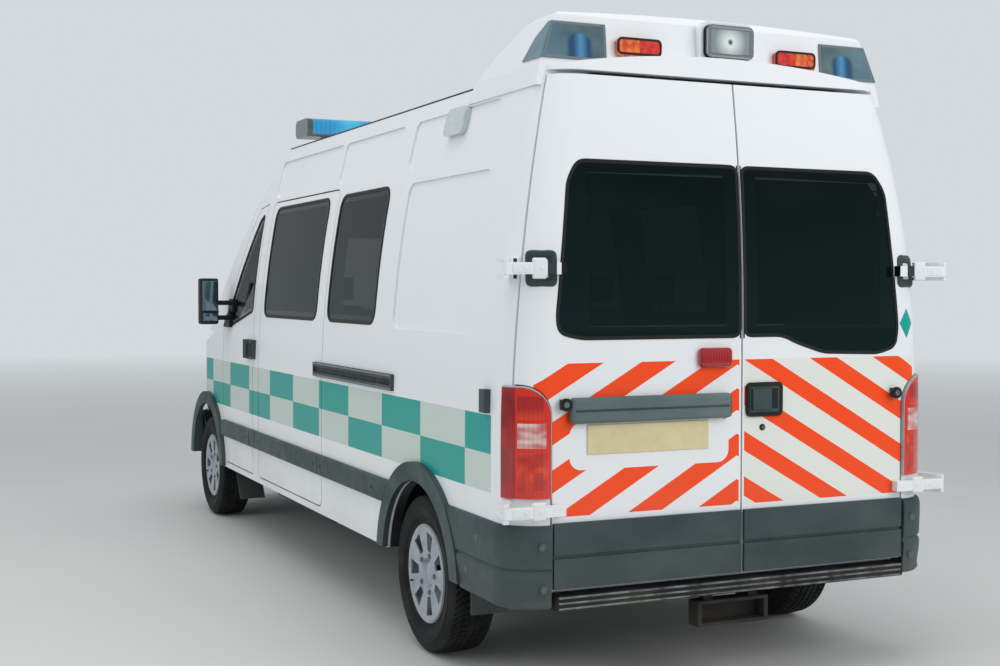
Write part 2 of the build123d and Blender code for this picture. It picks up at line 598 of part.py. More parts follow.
hanging = hanging - block(REAR_FACE_X - 20, REAR_FACE_X + 40, -122, 172, 262, 338)
for y in (-100, 110):
    hanging = hanging + block(REAR_FACE_X, REAR_FACE_X + 40, y, y + 40, 345, 380)
keep("rear_step", step + hanging)

# Rub strips, wheel arch trims, slider rail and door catches along the sides
for side in (1, -1):
    room = through(rear_trim_room, side)
    if side > 0:
        keep("side_trims", strip(SLIDE_FRONT_X + STRIP_GAP, CAB_DOOR_REAR_X - STRIP_GAP / 2, side))
        keep("side_trims", strip(SLIDE_REAR_X + STRIP_GAP / 2, SLIDE_FRONT_X, side))
        keep("side_trims", strip(REAR_AXLE_X, SLIDE_REAR_X - STRIP_GAP / 2, side) - room)
        rail = block(-1630, -410, 975, 998, 1117, 1191) - block(-1616, -424, 990, 1000, 1140, 1168)
        keep("side_trims", rail - envelope(0.0))
        handle = block(SLIDE_FRONT_X + 76, CAB_DOOR_REAR_X - 12, 975, 1012, HANDLE_LOW_Z, HANDLE_TOP_Z) - envelope(0.0)
        keep("side_trims", handle)
    else:
        keep("side_trims", strip(REAR_AXLE_X, CAB_DOOR_REAR_X - STRIP_GAP / 2, side) - room)
    catch = block(-2705, -2655, side * 975, side * 1010, 1105, 1195) - envelope(0.0)
    keep("side_trims", catch)
    for axle_x, lift in ((FRONT_AXLE_X, ARCH_LIFT_FRONT), (REAR_AXLE_X, ARCH_LIFT_REAR)):
        centre = Pos(axle_x, TYRE_R + lift)
        ring = along() * centre * (Circle(ARCH_TRIM_R) - Circle(ARCH_R - 4))
        deep = 780 if axle_x > 0 else HALF_WIDTH - WALL
        band = extrude(ring, amount=HALF_WIDTH + TRIM_PROUD, dir=(0, side, 0))
        band = band - block(-3000, 3000, -deep, deep, -400, 1000) - block(-3000, 3000, -1100, 1100, -400, SILL_Z + 6)
        if axle_x > 0:
            band = band - (nose_skin & block(WING_BACK_X, 2950, -1100, 1100, 0, 1500)) - cab_rebate_room
            band = band - (envelope(0.0) & block(1000, WING_BACK_X, -1100, 1100, 0, 1500))
            band = band - (extrude(bumper_plan, amount=600, dir=(0, 0, 1)))
        else:
            band = band - envelope(0.0)
        keep("side_trims", band)

# Floor, rails, sills and wheel houses
FIRE_X = 1960.0
HOUSE_Y = 540.0
HOUSE_T = 12.0
REAR_HOUSE_Y = 690.0
inside = envelope(WALL)
both = lambda shape: shape + mirrored(shape)
floor_back_x = REAR_FACE_X + FRAME_DEPTH
floor = block(floor_back_x, FIRE_X, -1000, 1000, FLOOR_Z - FLOOR_T, FLOOR_Z) & inside
rear_house = block(REAR_AXLE_X - 432, REAR_AXLE_X + 432, REAR_HOUSE_Y, 1000, 300, 806)
house_shell = block(
    REAR_AXLE_X - 432 - HOUSE_T, REAR_AXLE_X + 432 + HOUSE_T, REAR_HOUSE_Y - HOUSE_T, 1000, FLOOR_Z - FLOOR_T,
    806 + HOUSE_T)
floor = floor + (both(house_shell) & inside) - both(rear_house)
front_round = along() * Pos(FRONT_AXLE_X, TYRE_R + ARCH_LIFT_FRONT) * Circle(ARCH_R + 4)
front_shell = along() * Pos(FRONT_AXLE_X, TYRE_R + ARCH_LIFT_FRONT) * Circle(ARCH_R + 4 + HOUSE_T)
beyond = block(1500, 2700, -HOUSE_Y, HOUSE_Y, -100, 1000)
front_room = through(front_round) - beyond
shell = through(front_shell) - block(1500, 2700, -HOUSE_Y + HOUSE_T, HOUSE_Y - HOUSE_T, -100, 1000)
shell_half = HALF_WIDTH - WALL - 75
shell = (shell & (inside + nose(NOSE_T))) - front_room
shell = shell & block(1600, 2700, -shell_half, shell_half, SILL_Z, 900)
floor = (floor + shell) - front_room
rails = both(block(floor_back_x, 2880, 425, 505, 400, FLOOR_Z - FLOOR_T))
bumper_space = extrude(bumper_core, amount=600, dir=(0, 0, 1)) + block(-3000, FRONT_AXLE_X, -800, 800, 200, 900)
floor = floor + (rails & bumper_space)
for x in (-2500, -1300, -300, 900):
    floor = floor + block(x - 40, x + 40, -860, 860, 440, FLOOR_Z - FLOOR_T)
sill_front_x = 1600
sill = block(REAR_AXLE_X + 470, sill_front_x, 860, HALF_WIDTH - WALL, SILL_Z, FLOOR_Z - FLOOR_T)
sill_rear = block(floor_back_x, REAR_AXLE_X - 432, 860, HALF_WIDTH - WALL, SILL_Z + 20, FLOOR_Z - FLOOR_T)
floor = floor + (both(sill) & inside) + (both(sill_rear) & inside)
keep("underbody", floor - posts)

# Bulkheads: engine side wall with its shelf, and the partition behind the seats
fire_wall = block(FIRE_X, FIRE_X + 20, -1000, 1000, FLOOR_Z - FLOOR_T, WING_TOP_Z) & inside
fire_wall = fire_wall - (front_room + shell)
shelf = block(FIRE_X + 20, 2250, -870, 870, 1262, WING_TOP_Z) & envelope(DOOR_T)
BONNET_HINGE_X = 2300.0
BONNET_HINGE_Z = 1262.0
hinge_eyes = block(2250, BONNET_HINGE_X + 12, 626, 638, 1244, 1272)
hinge_pin = Pos(BONNET_HINGE_X, 615, BONNET_HINGE_Z) * Rot(90, 0, 0) * Cylinder(PIN_R, 40)
keep("bulkheads", fire_wall + shelf + both(hinge_eyes + hinge_pin))
PARTITION_X = 840.0
partition = block(PARTITION_X, PARTITION_X + 25, -1000, 1000, FLOOR_Z, 2360) & inside
partition = partition - block(PARTITION_X - 5, PARTITION_X + 30, -250, 450, 1450, 1900)
keep("bulkheads", partition)

# Bonnet hinge arms, fused to the bonnet
arm = block(BONNET_HINGE_X - 12, 2420, 604, 622, 1215, 1290) & nose(BONNET_T - 3)
arm = arm - block(2200, 2500, 500, 700, 1100, 1232) - block(2200, BONNET_HINGE_X - 9, 500, 700, 1100, 1400)
arm = arm - (Pos(BONNET_HINGE_X, 613, BONNET_HINGE_Z) * Rot(90, 0, 0) * Cylinder(PIN_R + RUN_GAP, 60))
arm = arm - envelope(-SHUT_GAP) + (arm & block(2200, 2400, 500, 700, 1200, 1274))
pieces["bonnet"] = solids_of(pieces["bonnet"][0] + both(arm))

# Wheels: a revolved tyre, and a rim with a slotted cover
SLOT_COUNT = 7
BORE_R = 33.0


def turned(points, axle_x, centre_y):
    """Revolve a section of (radius, distance outwards) about a left-hand wheel's axle."""
    plane = Plane(origin=(axle_x, centre_y, TYRE_R), x_dir=(0, 0, 1), z_dir=(-1, 0, 0))
    return revolve(drawn(plane, *points), Axis((axle_x, centre_y, TYRE_R), (0, 1, 0)), 360)


def left_tyre(axle_x, centre_y):
    half = TYRE_W / 2
    bead = RIM_R - 10
    return turned([
        (bead, -RIM_W / 2 + 8), (bead, RIM_W / 2 - 8), (RIM_R, RIM_W / 2 - 8),
        ((RIM_R + 8, RIM_W / 2 + 8), (RIM_R + 22, half - 7)),
        ((RIM_R + 62, half), (TYRE_R - 32, half - 4)), ((TYRE_R - 9, half - 12), (TYRE_R, half - 32)),
        (TYRE_R, -half + 32), ((TYRE_R - 9, -half + 12), (TYRE_R - 32, -half + 4)),
        ((RIM_R + 62, -half), (RIM_R + 22, -half + 7)), ((RIM_R + 8, -RIM_W / 2 - 8), (RIM_R, -RIM_W / 2 + 8)),
    ], axle_x, centre_y)


def left_rim(axle_x, centre_y):
    half = RIM_W / 2
    bead = RIM_R - 10
    barrel = turned([(bead - 12, -half), (RIM_R, -half), (RIM_R, -half + 8), (bead, -half + 8), (bead, half - 8),
                     (RIM_R, half - 8), (RIM_R, half), (bead - 12, half)], axle_x, centre_y)
    disc = turned([(BORE_R, 12), (bead - 12, 30), (bead - 12, 42), (BORE_R, 30)], axle_x, centre_y)
    cover = turned([(0, 58), (58, 58), (70, 76), (bead - 12, 84), (RIM_R - 6, half), (RIM_R - 6, half + 4),
                    (bead - 14, 91), (66, 83), (56, 65), (0, 65)], axle_x, centre_y)
    for index in range(SLOT_COUNT):
        angle = 360 * index / SLOT_COUNT
        slot = Pos(axle_x, centre_y + 80, TYRE_R) * Rot(90, 0, 0) * Rot(0, 0, angle) * Pos(138, 0, 0)
        cutter = slot * extrude(Polygon((-38, -18), (42, -34), (42, 34), (-38, 18), align=None), amount=30, both=True)
        cover = cover - cutter
    return barrel + disc + cover


for end, axle_x, track in (("front", FRONT_AXLE_X, FRONT_TRACK), ("rear", REAR_AXLE_X, REAR_TRACK)):
    tyre = left_tyre(axle_x, track / 2)
    rim = left_rim(axle_x, track / 2)
    keep(end + "_left_tyre", tyre)
    keep(end + "_left_rim", rim)
    keep(end + "_right_tyre", mirrored(tyre))
    keep(end + "_right_rim", mirrored(rim))

# Knuckles, suspension and axle
kingpin_y = FRONT_TRACK / 2 - KINGPIN_INSET
hub_face = 6.0
stub_r = BORE_R - RUN_GAP
BALL_R = 12.0
ARM_LOW_Z = TYRE_R - 119.0
ARM_TOP_Z = TYRE_R + TYRE_R + 14 + 20


def axle_stub(axle_x, y0, y1, radius):
    return Pos(axle_x, (y0 + y1) / 2, TYRE_R) * Rot(90, 0, 0) * Cylinder(radius, abs(y1 - y0))


def pin(x, y, z0, z1, radius):
    return Pos(x, y, (z0 + z1) / 2) * Cylinder(radius, abs(z1 - z0))


post = block(FRONT_AXLE_X - 26, FRONT_AXLE_X + 26, kingpin_y - 110, kingpin_y - 72, TYRE_R - 95, TYRE_R + 105)
foot = block(FRONT_AXLE_X - 22, FRONT_AXLE_X + 22, kingpin_y - 110, kingpin_y + 20, ARM_LOW_Z, TYRE_R - 95)
neck = block(FRONT_AXLE_X - 18, FRONT_AXLE_X + 18, kingpin_y - 140, kingpin_y - 102, TYRE_R + 60, ARM_TOP_Z)
crown = block(FRONT_AXLE_X - 18, FRONT_AXLE_X + 18, kingpin_y - 140, kingpin_y + 20, ARM_TOP_Z - 20, ARM_TOP_Z)
knuckle = post + foot + neck + crown + axle_stub(FRONT_AXLE_X, kingpin_y - 90, FRONT_TRACK / 2 + 30, stub_r)
knuckle = knuckle + axle_stub(FRONT_AXLE_X, kingpin_y - 90, FRONT_TRACK / 2 + hub_face, 62)
knuckle = knuckle + pin(FRONT_AXLE_X, kingpin_y, ARM_LOW_Z - 24, ARM_LOW_Z, BALL_R)
knuckle = knuckle + pin(FRONT_AXLE_X, kingpin_y, ARM_TOP_Z, ARM_TOP_Z + 24, BALL_R)
keep("front_left_knuckle", knuckle)
keep("front_right_knuckle", mirrored(knuckle))

SUBFRAME_Y = 520.0
arm_end = kingpin_y + 24
lower_arm = level(ARM_LOW_Z - 24) * make_face(Polyline(
    (FRONT_AXLE_X - 90, SUBFRAME_Y - 20), (FRONT_AXLE_X - 26, arm_end), (FRONT_AXLE_X + 26, arm_end),
    (FRONT_AXLE_X + 90, SUBFRAME_Y - 20), close=True))
lower_arm = extrude(lower_arm, amount=24 - SEAL_GAP, dir=(0, 0, 1))
upper_arm = block(FRONT_AXLE_X - 28, FRONT_AXLE_X + 28, HOUSE_Y - 4, arm_end, ARM_TOP_Z + SEAL_GAP, ARM_TOP_Z + 24)
spring = pin(FRONT_AXLE_X, 640, ARM_LOW_Z - 2, 780, 40)
corner = lower_arm + upper_arm + spring - pin(FRONT_AXLE_X, kingpin_y, 100, 900, BALL_R + RUN_GAP)
subframe = block(FRONT_AXLE_X - 50, FRONT_AXLE_X + 50, -SUBFRAME_Y, SUBFRAME_Y, ARM_LOW_Z - 24, ARM_LOW_Z + 50)
hangers = block(FRONT_AXLE_X - 30, FRONT_AXLE_X + 30, 440, 490, ARM_LOW_Z, 400)
keep("front_suspension", (both(corner + hangers) + subframe) - (floor + shell))

axle_end = REAR_TRACK / 2 + hub_face
beam = axle_stub(REAR_AXLE_X, -REAR_TRACK / 2 - 30, REAR_TRACK / 2 + 30, stub_r)
beam = beam + axle_stub(REAR_AXLE_X, -REAR_TRACK / 2 + 80, REAR_TRACK / 2 - 80, 40)
beam = beam + both(axle_stub(REAR_AXLE_X, REAR_TRACK / 2 - 100, axle_end, 90))
leaf = drawn(along(490), (REAR_AXLE_X - 620, 400), (REAR_AXLE_X + 620, 400), (REAR_AXLE_X + 620, 392),
             ((REAR_AXLE_X, 368), (REAR_AXLE_X - 620, 392)))
keep("rear_axle", beam + both(extrude(leaf, amount=-50)))

# Engine, exhaust and tank
engine = block(2005, 2600, -380, 380, 320, 920) + block(2200, 2300, -425, 425, 430, 490)
keep("engine_block", engine - (block(2050, 2200, -600, 600, 100, 330)))
EXHAUST_Y = -250.0
EXHAUST_Z = 350.0
pipe_path = Polyline((2005, EXHAUST_Y, EXHAUST_Z), (-1400, EXHAUST_Y, EXHAUST_Z), (-1400, -900, EXHAUST_Z))
pipe_start = Plane(origin=(2005, EXHAUST_Y, EXHAUST_Z), z_dir=(-1, 0, 0))
pipe = sweep(pipe_start * Circle(26), path=pipe_path, transition=Transition.RIGHT)
pipe = pipe + Pos(-750, EXHAUST_Y, EXHAUST_Z) * Rot(0, 90, 0) * Cylinder(66, 600)
for x in (900, -300, -1300):
    pipe = pipe + block(x - 15, x + 15, EXHAUST_Y - 12, EXHAUST_Y + 12, EXHAUST_Z, 440)
pipe = pipe + block(-1415, -1385, -812, -788, EXHAUST_Z, FLOOR_Z - FLOOR_T)
keep("exhaust", pipe)
tank = block(-250, 850, 515, 852, 290, FLOOR_Z - FLOOR_T)
keep("fuel_tank", fillet(tank.edges().filter_by(Axis.X).sort_by(Axis.Z)[:2], 40))

# Mud flaps
flap = block(REAR_AXLE_X - 432, REAR_AXLE_X - 426, 760, HALF_WIDTH - WALL, 249, FLOOR_Z - FLOOR_T)
front_flap = make_face(Polyline(
    (1606, 450), (1600, 450), (1600, 368), (1478, 192), (1483, 188), (1605, 366), close=True))
flap = flap + extrude(along(HALF_WIDTH - WALL) * front_flap, amount=165)
keep("side_trims", both(flap))

# Roof pod with its lamps, light bar and side lamps
POD_REAR_X = -2762.0
POD_SEAM_Z = 2360.0


def pod(grow):
    """The rear roof pod: a crowned cross section inside a wedge-shaped side view."""
    side_view = drawn(
        along(), (POD_REAR_X, POD_SEAM_Z), (POD_REAR_X + 10, 2480), (POD_REAR_X + 26, 2640),
        (POD_REAR_X + 50, 2676), (-2600, 2676), ((-2430, 2608), (-2254, 2524)), ((-2160, 2452), (-2095, POD_SEAM_Z)),
    )
    low_half = side_half_width(POD_SEAM_Z) + 8
    section = drawn(
        across(-3000), (low_half, POD_SEAM_Z), (803, 2445), (733, 2632), (712, 2650), ((0, 2672), (-712, 2650)),
        (-733, 2632), (-803, 2445), (-low_half, POD_SEAM_Z),
    )
    if grow:
        side_view = offset(side_view, grow, kind=Kind.INTERSECTION)
        section = offset(section, grow, kind=Kind.INTERSECTION)
    return through(side_view) & extrude(section, amount=1200, dir=(1, 0, 0))


blue_points = [(-2800, 2466), (POD_REAR_X + 10, 2466), (-2590, 2470), (-2640, 2560), (-2715, 2612), (-2800, 2612)]
blue_zone = extrude(along() * make_face(Polyline(*blue_points, close=True)), amount=820, dir=(0, 1, 0))
blue_zone = blue_zone - block(-2800, -2500, 0, 512, 2400, 2700)
blue_zone = blue_zone - block(-2680, -2500, 0, 640, 2400, 2700)
pod_shell = pod(0)
blue_lamps = both((pod(5) - pod(-40)) & blue_zone)
amber = block(POD_REAR_X - 12, POD_REAR_X + 60, 275, 470, 2490, 2560)
amber = fillet(amber.edges().filter_by(Axis.X), 16)
plinth = block(POD_REAR_X - 18, POD_REAR_X + 60, -155, 95, 2455, 2655)
plinth = fillet(plinth.edges().filter_by(Axis.X), 30)
work = block(POD_REAR_X - 44, POD_REAR_X - 18, -135, 77, 2512, 2636)
work = fillet(work.edges().filter_by(Axis.X), 22)
pod_body = (pod_shell - both((pod(5) - pod(-40)) & blue_zone)) + plinth
keep("roof_pod", pod_body - envelope(0.0))
keep("corner_beacons", blue_lamps - envelope(0.0))
keep("marker_lamps", both(amber) - pod_body - envelope(0.0), work)
side_marker = through(rounded(-2120, -1912, 2238, 2358, 34))
side_markers = layer(side_marker, -20.0, 0.0) + layer(side_marker, 0.0, RECESS)
keep("marker_lamps", side_markers - pieces["left_side_panel"][0] - pieces["right_side_panel"][0])
BAR_X = 800.0
bar_face = along(700) * Pos(BAR_X, 2565) * RectangleRounded(260, 110, 40)
feet = both(block(BAR_X - 90, BAR_X + 60, 480, 560, 2400, 2530)) - envelope(0.0)
keep("light_bar", extrude(bar_face, amount=1400) + feet)

# Cab: seats, dashboard, steering wheel; load space: seats and grab rails
SEAT_TABLE = [
    {"x": 925, "y": -430, "back_to": 870},
    {"x": 925, "y": 430, "back_to": 870},
    {"x": -700, "y": -560, "back_to": None},
    {"x": -1700, "y": -350, "back_to": None},
    {"x": -700, "y": 560, "back_to": None},
]
for seat in SEAT_TABLE:
    x = seat["x"]
    y = seat["y"]
    base = block(x + 60, x + 400, y - 190, y + 190, FLOOR_Z, 800)
    cushion = block(x + 20, x + 500, y - 235, y + 235, 800, 930)
    cushion = fillet(cushion.edges().filter_by(Axis.Y), 30)
    back_face = make_face(Polyline((x + 90, 900), (x + 210, 900), (x + 95, 1480), (x + 10, 1480), close=True))
    back = extrude(along(y + 230) * back_face, amount=460)
    rest = block(x - 5, x + 75, y - 120, y + 120, 1500, 1660) + block(x + 25, x + 55, y - 60, y + 60, 1470, 1510)
    keep("seats", base + cushion + back + rest)

DASH_BACK_X = 1560.0
dash_points = [(FIRE_X, 850), (1720, 830), (DASH_BACK_X, 960), (DASH_BACK_X + 10, 1150), (1640, 1230), (FIRE_X, 1285)]
dash = extrude(along(845) * make_face(Polyline(*dash_points, close=True)), amount=1690)
dash = dash - front_room - shell - (posts + frame)
keep("dashboard", dash)
WHEEL_TILT = 32.0
wheel_place = Pos(1440, -430, 1120) * Rot(0, -90 + WHEEL_TILT, 0)
ring = wheel_place * Torus(185, 15)
hub = wheel_place * Cylinder(45, 36)
spokes = wheel_place * (Box(370, 30, 14) + Pos(0, 90, 0) * Box(30, 180, 14))
column = wheel_place * Pos(0, 0, -120) * Cylinder(28, 230)
keep("steering_wheel", (ring + hub + spokes + column) - dash)

rails_up = pin(-2300, 640, FLOOR_Z, 1900, 16) + pin(-1150, -250, FLOOR_Z, 2000, 16)
rails_up = rails_up + block(-2316, -2284, 624, 790, 1440, 1465)
keep("grab_rails", rails_up & envelope(WALL))

os.makedirs("parts", exist_ok=True)
for node, solids in pieces.items():
    shape = solids[0] if len(solids) == 1 else Compound(children=solids)
    export_step(shape, "parts/" + node + ".step")
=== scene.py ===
import math

import bmesh
import bpy
import numpy as np
from mathutils import Matrix


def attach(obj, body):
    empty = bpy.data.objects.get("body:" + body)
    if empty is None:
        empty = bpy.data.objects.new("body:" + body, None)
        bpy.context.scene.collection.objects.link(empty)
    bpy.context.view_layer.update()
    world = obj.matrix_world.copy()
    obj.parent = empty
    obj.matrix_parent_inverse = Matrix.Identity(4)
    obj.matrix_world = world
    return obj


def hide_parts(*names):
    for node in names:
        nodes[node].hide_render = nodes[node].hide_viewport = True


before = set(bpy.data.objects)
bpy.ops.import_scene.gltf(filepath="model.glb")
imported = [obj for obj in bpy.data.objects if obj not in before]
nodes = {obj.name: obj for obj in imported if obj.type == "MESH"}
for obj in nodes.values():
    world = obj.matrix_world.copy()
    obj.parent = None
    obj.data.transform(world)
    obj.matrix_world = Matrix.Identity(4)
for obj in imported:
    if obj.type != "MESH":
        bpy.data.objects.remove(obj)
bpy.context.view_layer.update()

# The camera stands behind the van's left rear corner, a little above a person's waist,
# and looks along the left side, as in the photograph (1000 by 666 pixels).
CAMERA_PLACE = (-7.5596, 3.1442, 1.5810)
CAMERA_YAW = -0.425733
CAMERA_PITCH = -0.031943
CAMERA_ROLL = 0.001435
FOCAL_SHARE = 1.39127
SENSOR_MM = 36.0

ahead = np.array([
    math.cos(CAMERA_PITCH) * math.cos(CAMERA_YAW),
    math.cos(CAMERA_PITCH) * math.sin(CAMERA_YAW),
    math.sin(CAMERA_PITCH),
])
level_right = np.array([math.sin(CAMERA_YAW), -math.cos(CAMERA_YAW), 0.0])
level_up = np.cross(level_right, ahead)
right = math.cos(CAMERA_ROLL) * level_right + math.sin(CAMERA_ROLL) * level_up
up = -math.sin(CAMERA_ROLL) * level_right + math.cos(CAMERA_ROLL) * level_up


def stand(thing, right, up, back, place):
    """Link a camera or lamp, with its three axes and its place as the columns of its matrix."""
    matrix = np.eye(4)
    matrix[:3] = np.stack([right, up, back, place], axis=1)
    thing.matrix_world = Matrix(matrix)
    bpy.context.scene.collection.objects.link(thing)


camera = bpy.data.objects.new("camera", bpy.data.cameras.new("camera"))
camera.data.sensor_width = SENSOR_MM
camera.data.lens = FOCAL_SHARE * SENSOR_MM
camera.data.clip_end = 200.0
stand(camera, right, up, -ahead, CAMERA_PLACE)
bpy.context.scene.camera = camera
bpy.context.scene.view_settings.view_transform = "Standard"


# The studio: a pale concrete floor running far out, one large soft lamp overhead,
# one at each side, and a pale sky that the paint and glass reflect.
FLOOR_HALF = 60.0
FLOOR_TINT = (0.80, 0.80, 0.79)
SKY_TINT = (0.93, 0.95, 0.97)
BACKDROP_TINT = (0.83, 0.85, 0.865)
SKY_STRENGTH = 0.56
LAMPS = [
    {"name": "top_lamp", "place": (-1.0, 1.5, 8.5), "aim": (0.0, 0.0, 0.8), "size": 9.0, "watts": 330.0},
    {"name": "rear_lamp", "place": (-9.5, -3.5, 5.0), "aim": (-1.0, 0.0, 1.0), "size": 6.0, "watts": 335.0},
    {"name": "side_lamp", "place": (-2.0, 10.5, 5.0), "aim": (0.0, 0.0, 1.0), "size": 7.0, "watts": 225.0},
]


def linear(tint):
    """A display colour made linear: the sRGB curve, channel by channel."""
    return tuple(c / 12.92 if c <= 0.04045 else ((c + 0.055) / 1.055) ** 2.4 for c in tint)


def operator(operation, swapped=False):
    """A method that adds one Math node, with its two values as they stand or swapped."""
    def made(self, other=0.0):
        pair = (other, self) if swapped else (self, other)
        return self.finish.sum(operation, *pair)
    return made


class Pattern:
    """A value that changes over a finish. Comparing two gives a mask of ones and zeros, and & keeps both."""

    def __init__(self, finish, socket):
        self.finish = finish
        self.socket = socket

    __add__ = operator("ADD")
    __radd__ = operator("ADD", swapped=True)
    __sub__ = operator("SUBTRACT")
    __rsub__ = operator("SUBTRACT", swapped=True)
    __mul__ = operator("MULTIPLY")
    __and__ = operator("MULTIPLY")
    __rmul__ = operator("MULTIPLY", swapped=True)
    __truediv__ = operator("DIVIDE")
    __gt__ = operator("GREATER_THAN")
    __lt__ = operator("LESS_THAN")
    __abs__ = operator("ABSOLUTE")
    at_least = operator("MAXIMUM")
    root = operator("SQRT")
    floor = operator("FLOOR")
    fract = operator("FRACT")

    def span(self, other):
        """The root of the two squares' sum."""
        return (self * self + other * other).root()

    def ribs(self, count):
        """Ribs: the value runs up and down between nought and one, count times in each metre."""
        return self.finish.sum("PINGPONG", self * count, 1.0)

    def between(self, low, high):
        """One where the value lies between the two numbers."""
        return (self > low) & (self < high)

    def ramp(self, low, high, start, end):
        """A straight change from start to end as the value goes from low to high, and flat outside."""
        node = self.finish.tree.nodes.new("ShaderNodeMapRange")
        for socket, number in zip(node.inputs, (self, low, high, start, end)):
            self.finish.feed(socket, number)
        return Pattern(self.finish, node.outputs[0])


class Finish:
    """One material: plain values go on the shader's sockets, and patterns are drawn in Object coordinates."""

    def __init__(self, name, tint, roughness, **sockets):
        self.material = bpy.data.materials.new(name)
        self.material.use_nodes = True
        self.tree = self.material.node_tree
        self.shader = self.tree.nodes["Principled BSDF"]
        self.set("Base Color", (*linear(tint), 1.0))
        self.set("Roughness", roughness)
        for socket, value in sockets.items():
            self.set(socket.replace("_", " "), value)
        self.place = self.tree.nodes.new("ShaderNodeTexCoord").outputs["Object"]
        split = self.tree.nodes.new("ShaderNodeSeparateXYZ")
        self.tree.links.new(self.place, split.inputs[0])
        self.x, self.y, self.z = (Pattern(self, socket) for socket in split.outputs)

    def set(self, socket, value):
        self.shader.inputs[socket].default_value = value

    def feed(self, socket, value):
        if isinstance(value, Pattern):
            self.tree.links.new(value.socket, socket)
        else:
            socket.default_value = value

    def sum(self, operation, *values):
        """One Math node: the operation on its values, each a pattern or a number."""
        node = self.tree.nodes.new("ShaderNodeMath")
        node.operation = operation
        for socket, value in zip(node.inputs, values):
            self.feed(socket, value)
        return Pattern(self, node.outputs[0])

    def mix(self, share, first, second):
        """A colour that goes from the first to the second with the share."""
        node = self.tree.nodes.new("ShaderNodeMix")
        node.data_type = "RGBA"
        self.feed(node.inputs[0], share)
        for socket, value in ((node.inputs[6], first), (node.inputs[7], second)):
            self.feed(socket, value if isinstance(value, Pattern) else (*linear(value), 1.0))
        return Pattern(self, node.outputs[2])

    def noise(self, scale, detail, stretch=(1.0, 1.0, 1.0)):
        """A cloudy value between nought and one, with scale lumps in each metre."""
        mapping = self.tree.nodes.new("ShaderNodeMapping")
        mapping.inputs["Scale"].default_value = stretch
        self.tree.links.new(self.place, mapping.inputs[0])
        node = self.tree.nodes.new("ShaderNodeTexNoise")
        node.inputs["Scale"].default_value = scale
        node.inputs["Detail"].default_value = detail
        self.tree.links.new(mapping.outputs[0], node.inputs["Vector"])
        return Pattern(self, node.outputs["Fac"])

    def colour(self, value):
        self.feed(self.shader.inputs["Base Color"], value)

    def rough(self, value):
        self.feed(self.shader.inputs["Roughness"], value)

    def clouds(self, scale, detail, first, second):
        """The colour drifts between the two with a noise."""
        self.colour(self.mix(self.noise(scale, detail), first, second))

    def bump(self, height, depth):
        """Relief: the height pattern raises the surface by the depth in metres."""
        node = self.tree.nodes.new("ShaderNodeBump")
        node.inputs["Strength"].default_value = 1.0
        node.inputs["Distance"].default_value = depth
        self.feed(node.inputs["Height"], height)
        self.tree.links.new(node.outputs[0], self.shader.inputs["Normal"])

    def grain(self, scale, depth, detail=2.0):
        """Relief from a noise."""
        self.bump(self.noise(scale, detail), depth)


def surface(name, points, faces, finish, smooth=True):
    """A mesh object at the origin from an array of points and a list of faces."""
    mesh = bpy.data.meshes.new(name)
    mesh.from_pydata(points.reshape(-1, 3).tolist(), [], faces)
    mesh.polygons.foreach_set("use_smooth", np.full(len(mesh.polygons), smooth))
    mesh.materials.append(finish.material)
    piece = bpy.data.objects.new(name, mesh)
    bpy.context.scene.collection.objects.link(piece)
    return piece


concrete = Finish("pale_floor", FLOOR_TINT, 0.75)
concrete.colour(concrete.mix(concrete.noise(0.6, 5.0), FLOOR_TINT, (0.84, 0.84, 0.83)))
from_van = concrete.x.span(concrete.y)
haze = concrete.tree.nodes.new("ShaderNodeEmission")
haze.inputs[0].default_value = (*linear(BACKDROP_TINT), 1.0)
seen_floor = Pattern(concrete, concrete.tree.nodes.new("ShaderNodeLightPath").outputs["Is Camera Ray"])
far_off = concrete.tree.nodes.new("ShaderNodeMixShader")
concrete.feed(far_off.inputs[0], from_van.ramp(5.0, 26.0, 0.0, 1.0) & seen_floor)
concrete.tree.links.new(concrete.shader.outputs[0], far_off.inputs[1])
concrete.tree.links.new(haze.outputs[0], far_off.inputs[2])
concrete.tree.links.new(far_off.outputs[0], concrete.tree.nodes["Material Output"].inputs[0])
floor_points = FLOOR_HALF * np.array([(-1, -1, 0), (1, -1, 0), (1, 1, 0), (-1, 1, 0)], float)
surface("floor", floor_points, [[0, 1, 2, 3]], concrete, smooth=False)

sky = bpy.data.worlds.new("sky")
sky.use_nodes = True
sky.node_tree.nodes["Background"].inputs[0].default_value = (*linear(SKY_TINT), 1.0)
sky.node_tree.nodes["Background"].inputs[1].default_value = SKY_STRENGTH
sky_tree = sky.node_tree
seen_sky = sky_tree.nodes.new("ShaderNodeBackground")
seen_sky.inputs[0].default_value = (*linear(BACKDROP_TINT), 1.0)
seen_sky.inputs[1].default_value = 1.0
light_path = sky_tree.nodes.new("ShaderNodeLightPath")
chooser = sky_tree.nodes.new("ShaderNodeMixShader")
sky_tree.links.new(light_path.outputs["Is Camera Ray"], chooser.inputs[0])
sky_tree.links.new(sky_tree.nodes["Background"].outputs[0], chooser.inputs[1])
sky_tree.links.new(seen_sky.outputs[0], chooser.inputs[2])
sky_tree.links.new(chooser.outputs[0], sky_tree.nodes["World Output"].inputs[0])
bpy.context.scene.world = sky

for lamp in LAMPS:
    light = bpy.data.objects.new(lamp["name"], bpy.data.lights.new(lamp["name"], "AREA"))
    light.data.size = lamp["size"]
    light.data.energy = lamp["watts"]
    toward = np.array(lamp["aim"]) - np.array(lamp["place"])
    toward = toward / np.linalg.norm(toward)
    lamp_right = np.cross(toward, (0.0, 0.0, 1.0))
    lamp_right = lamp_right / np.linalg.norm(lamp_right)
    light.visible_glossy = False
    stand(light, lamp_right, np.cross(lamp_right, toward), -toward, lamp["place"])


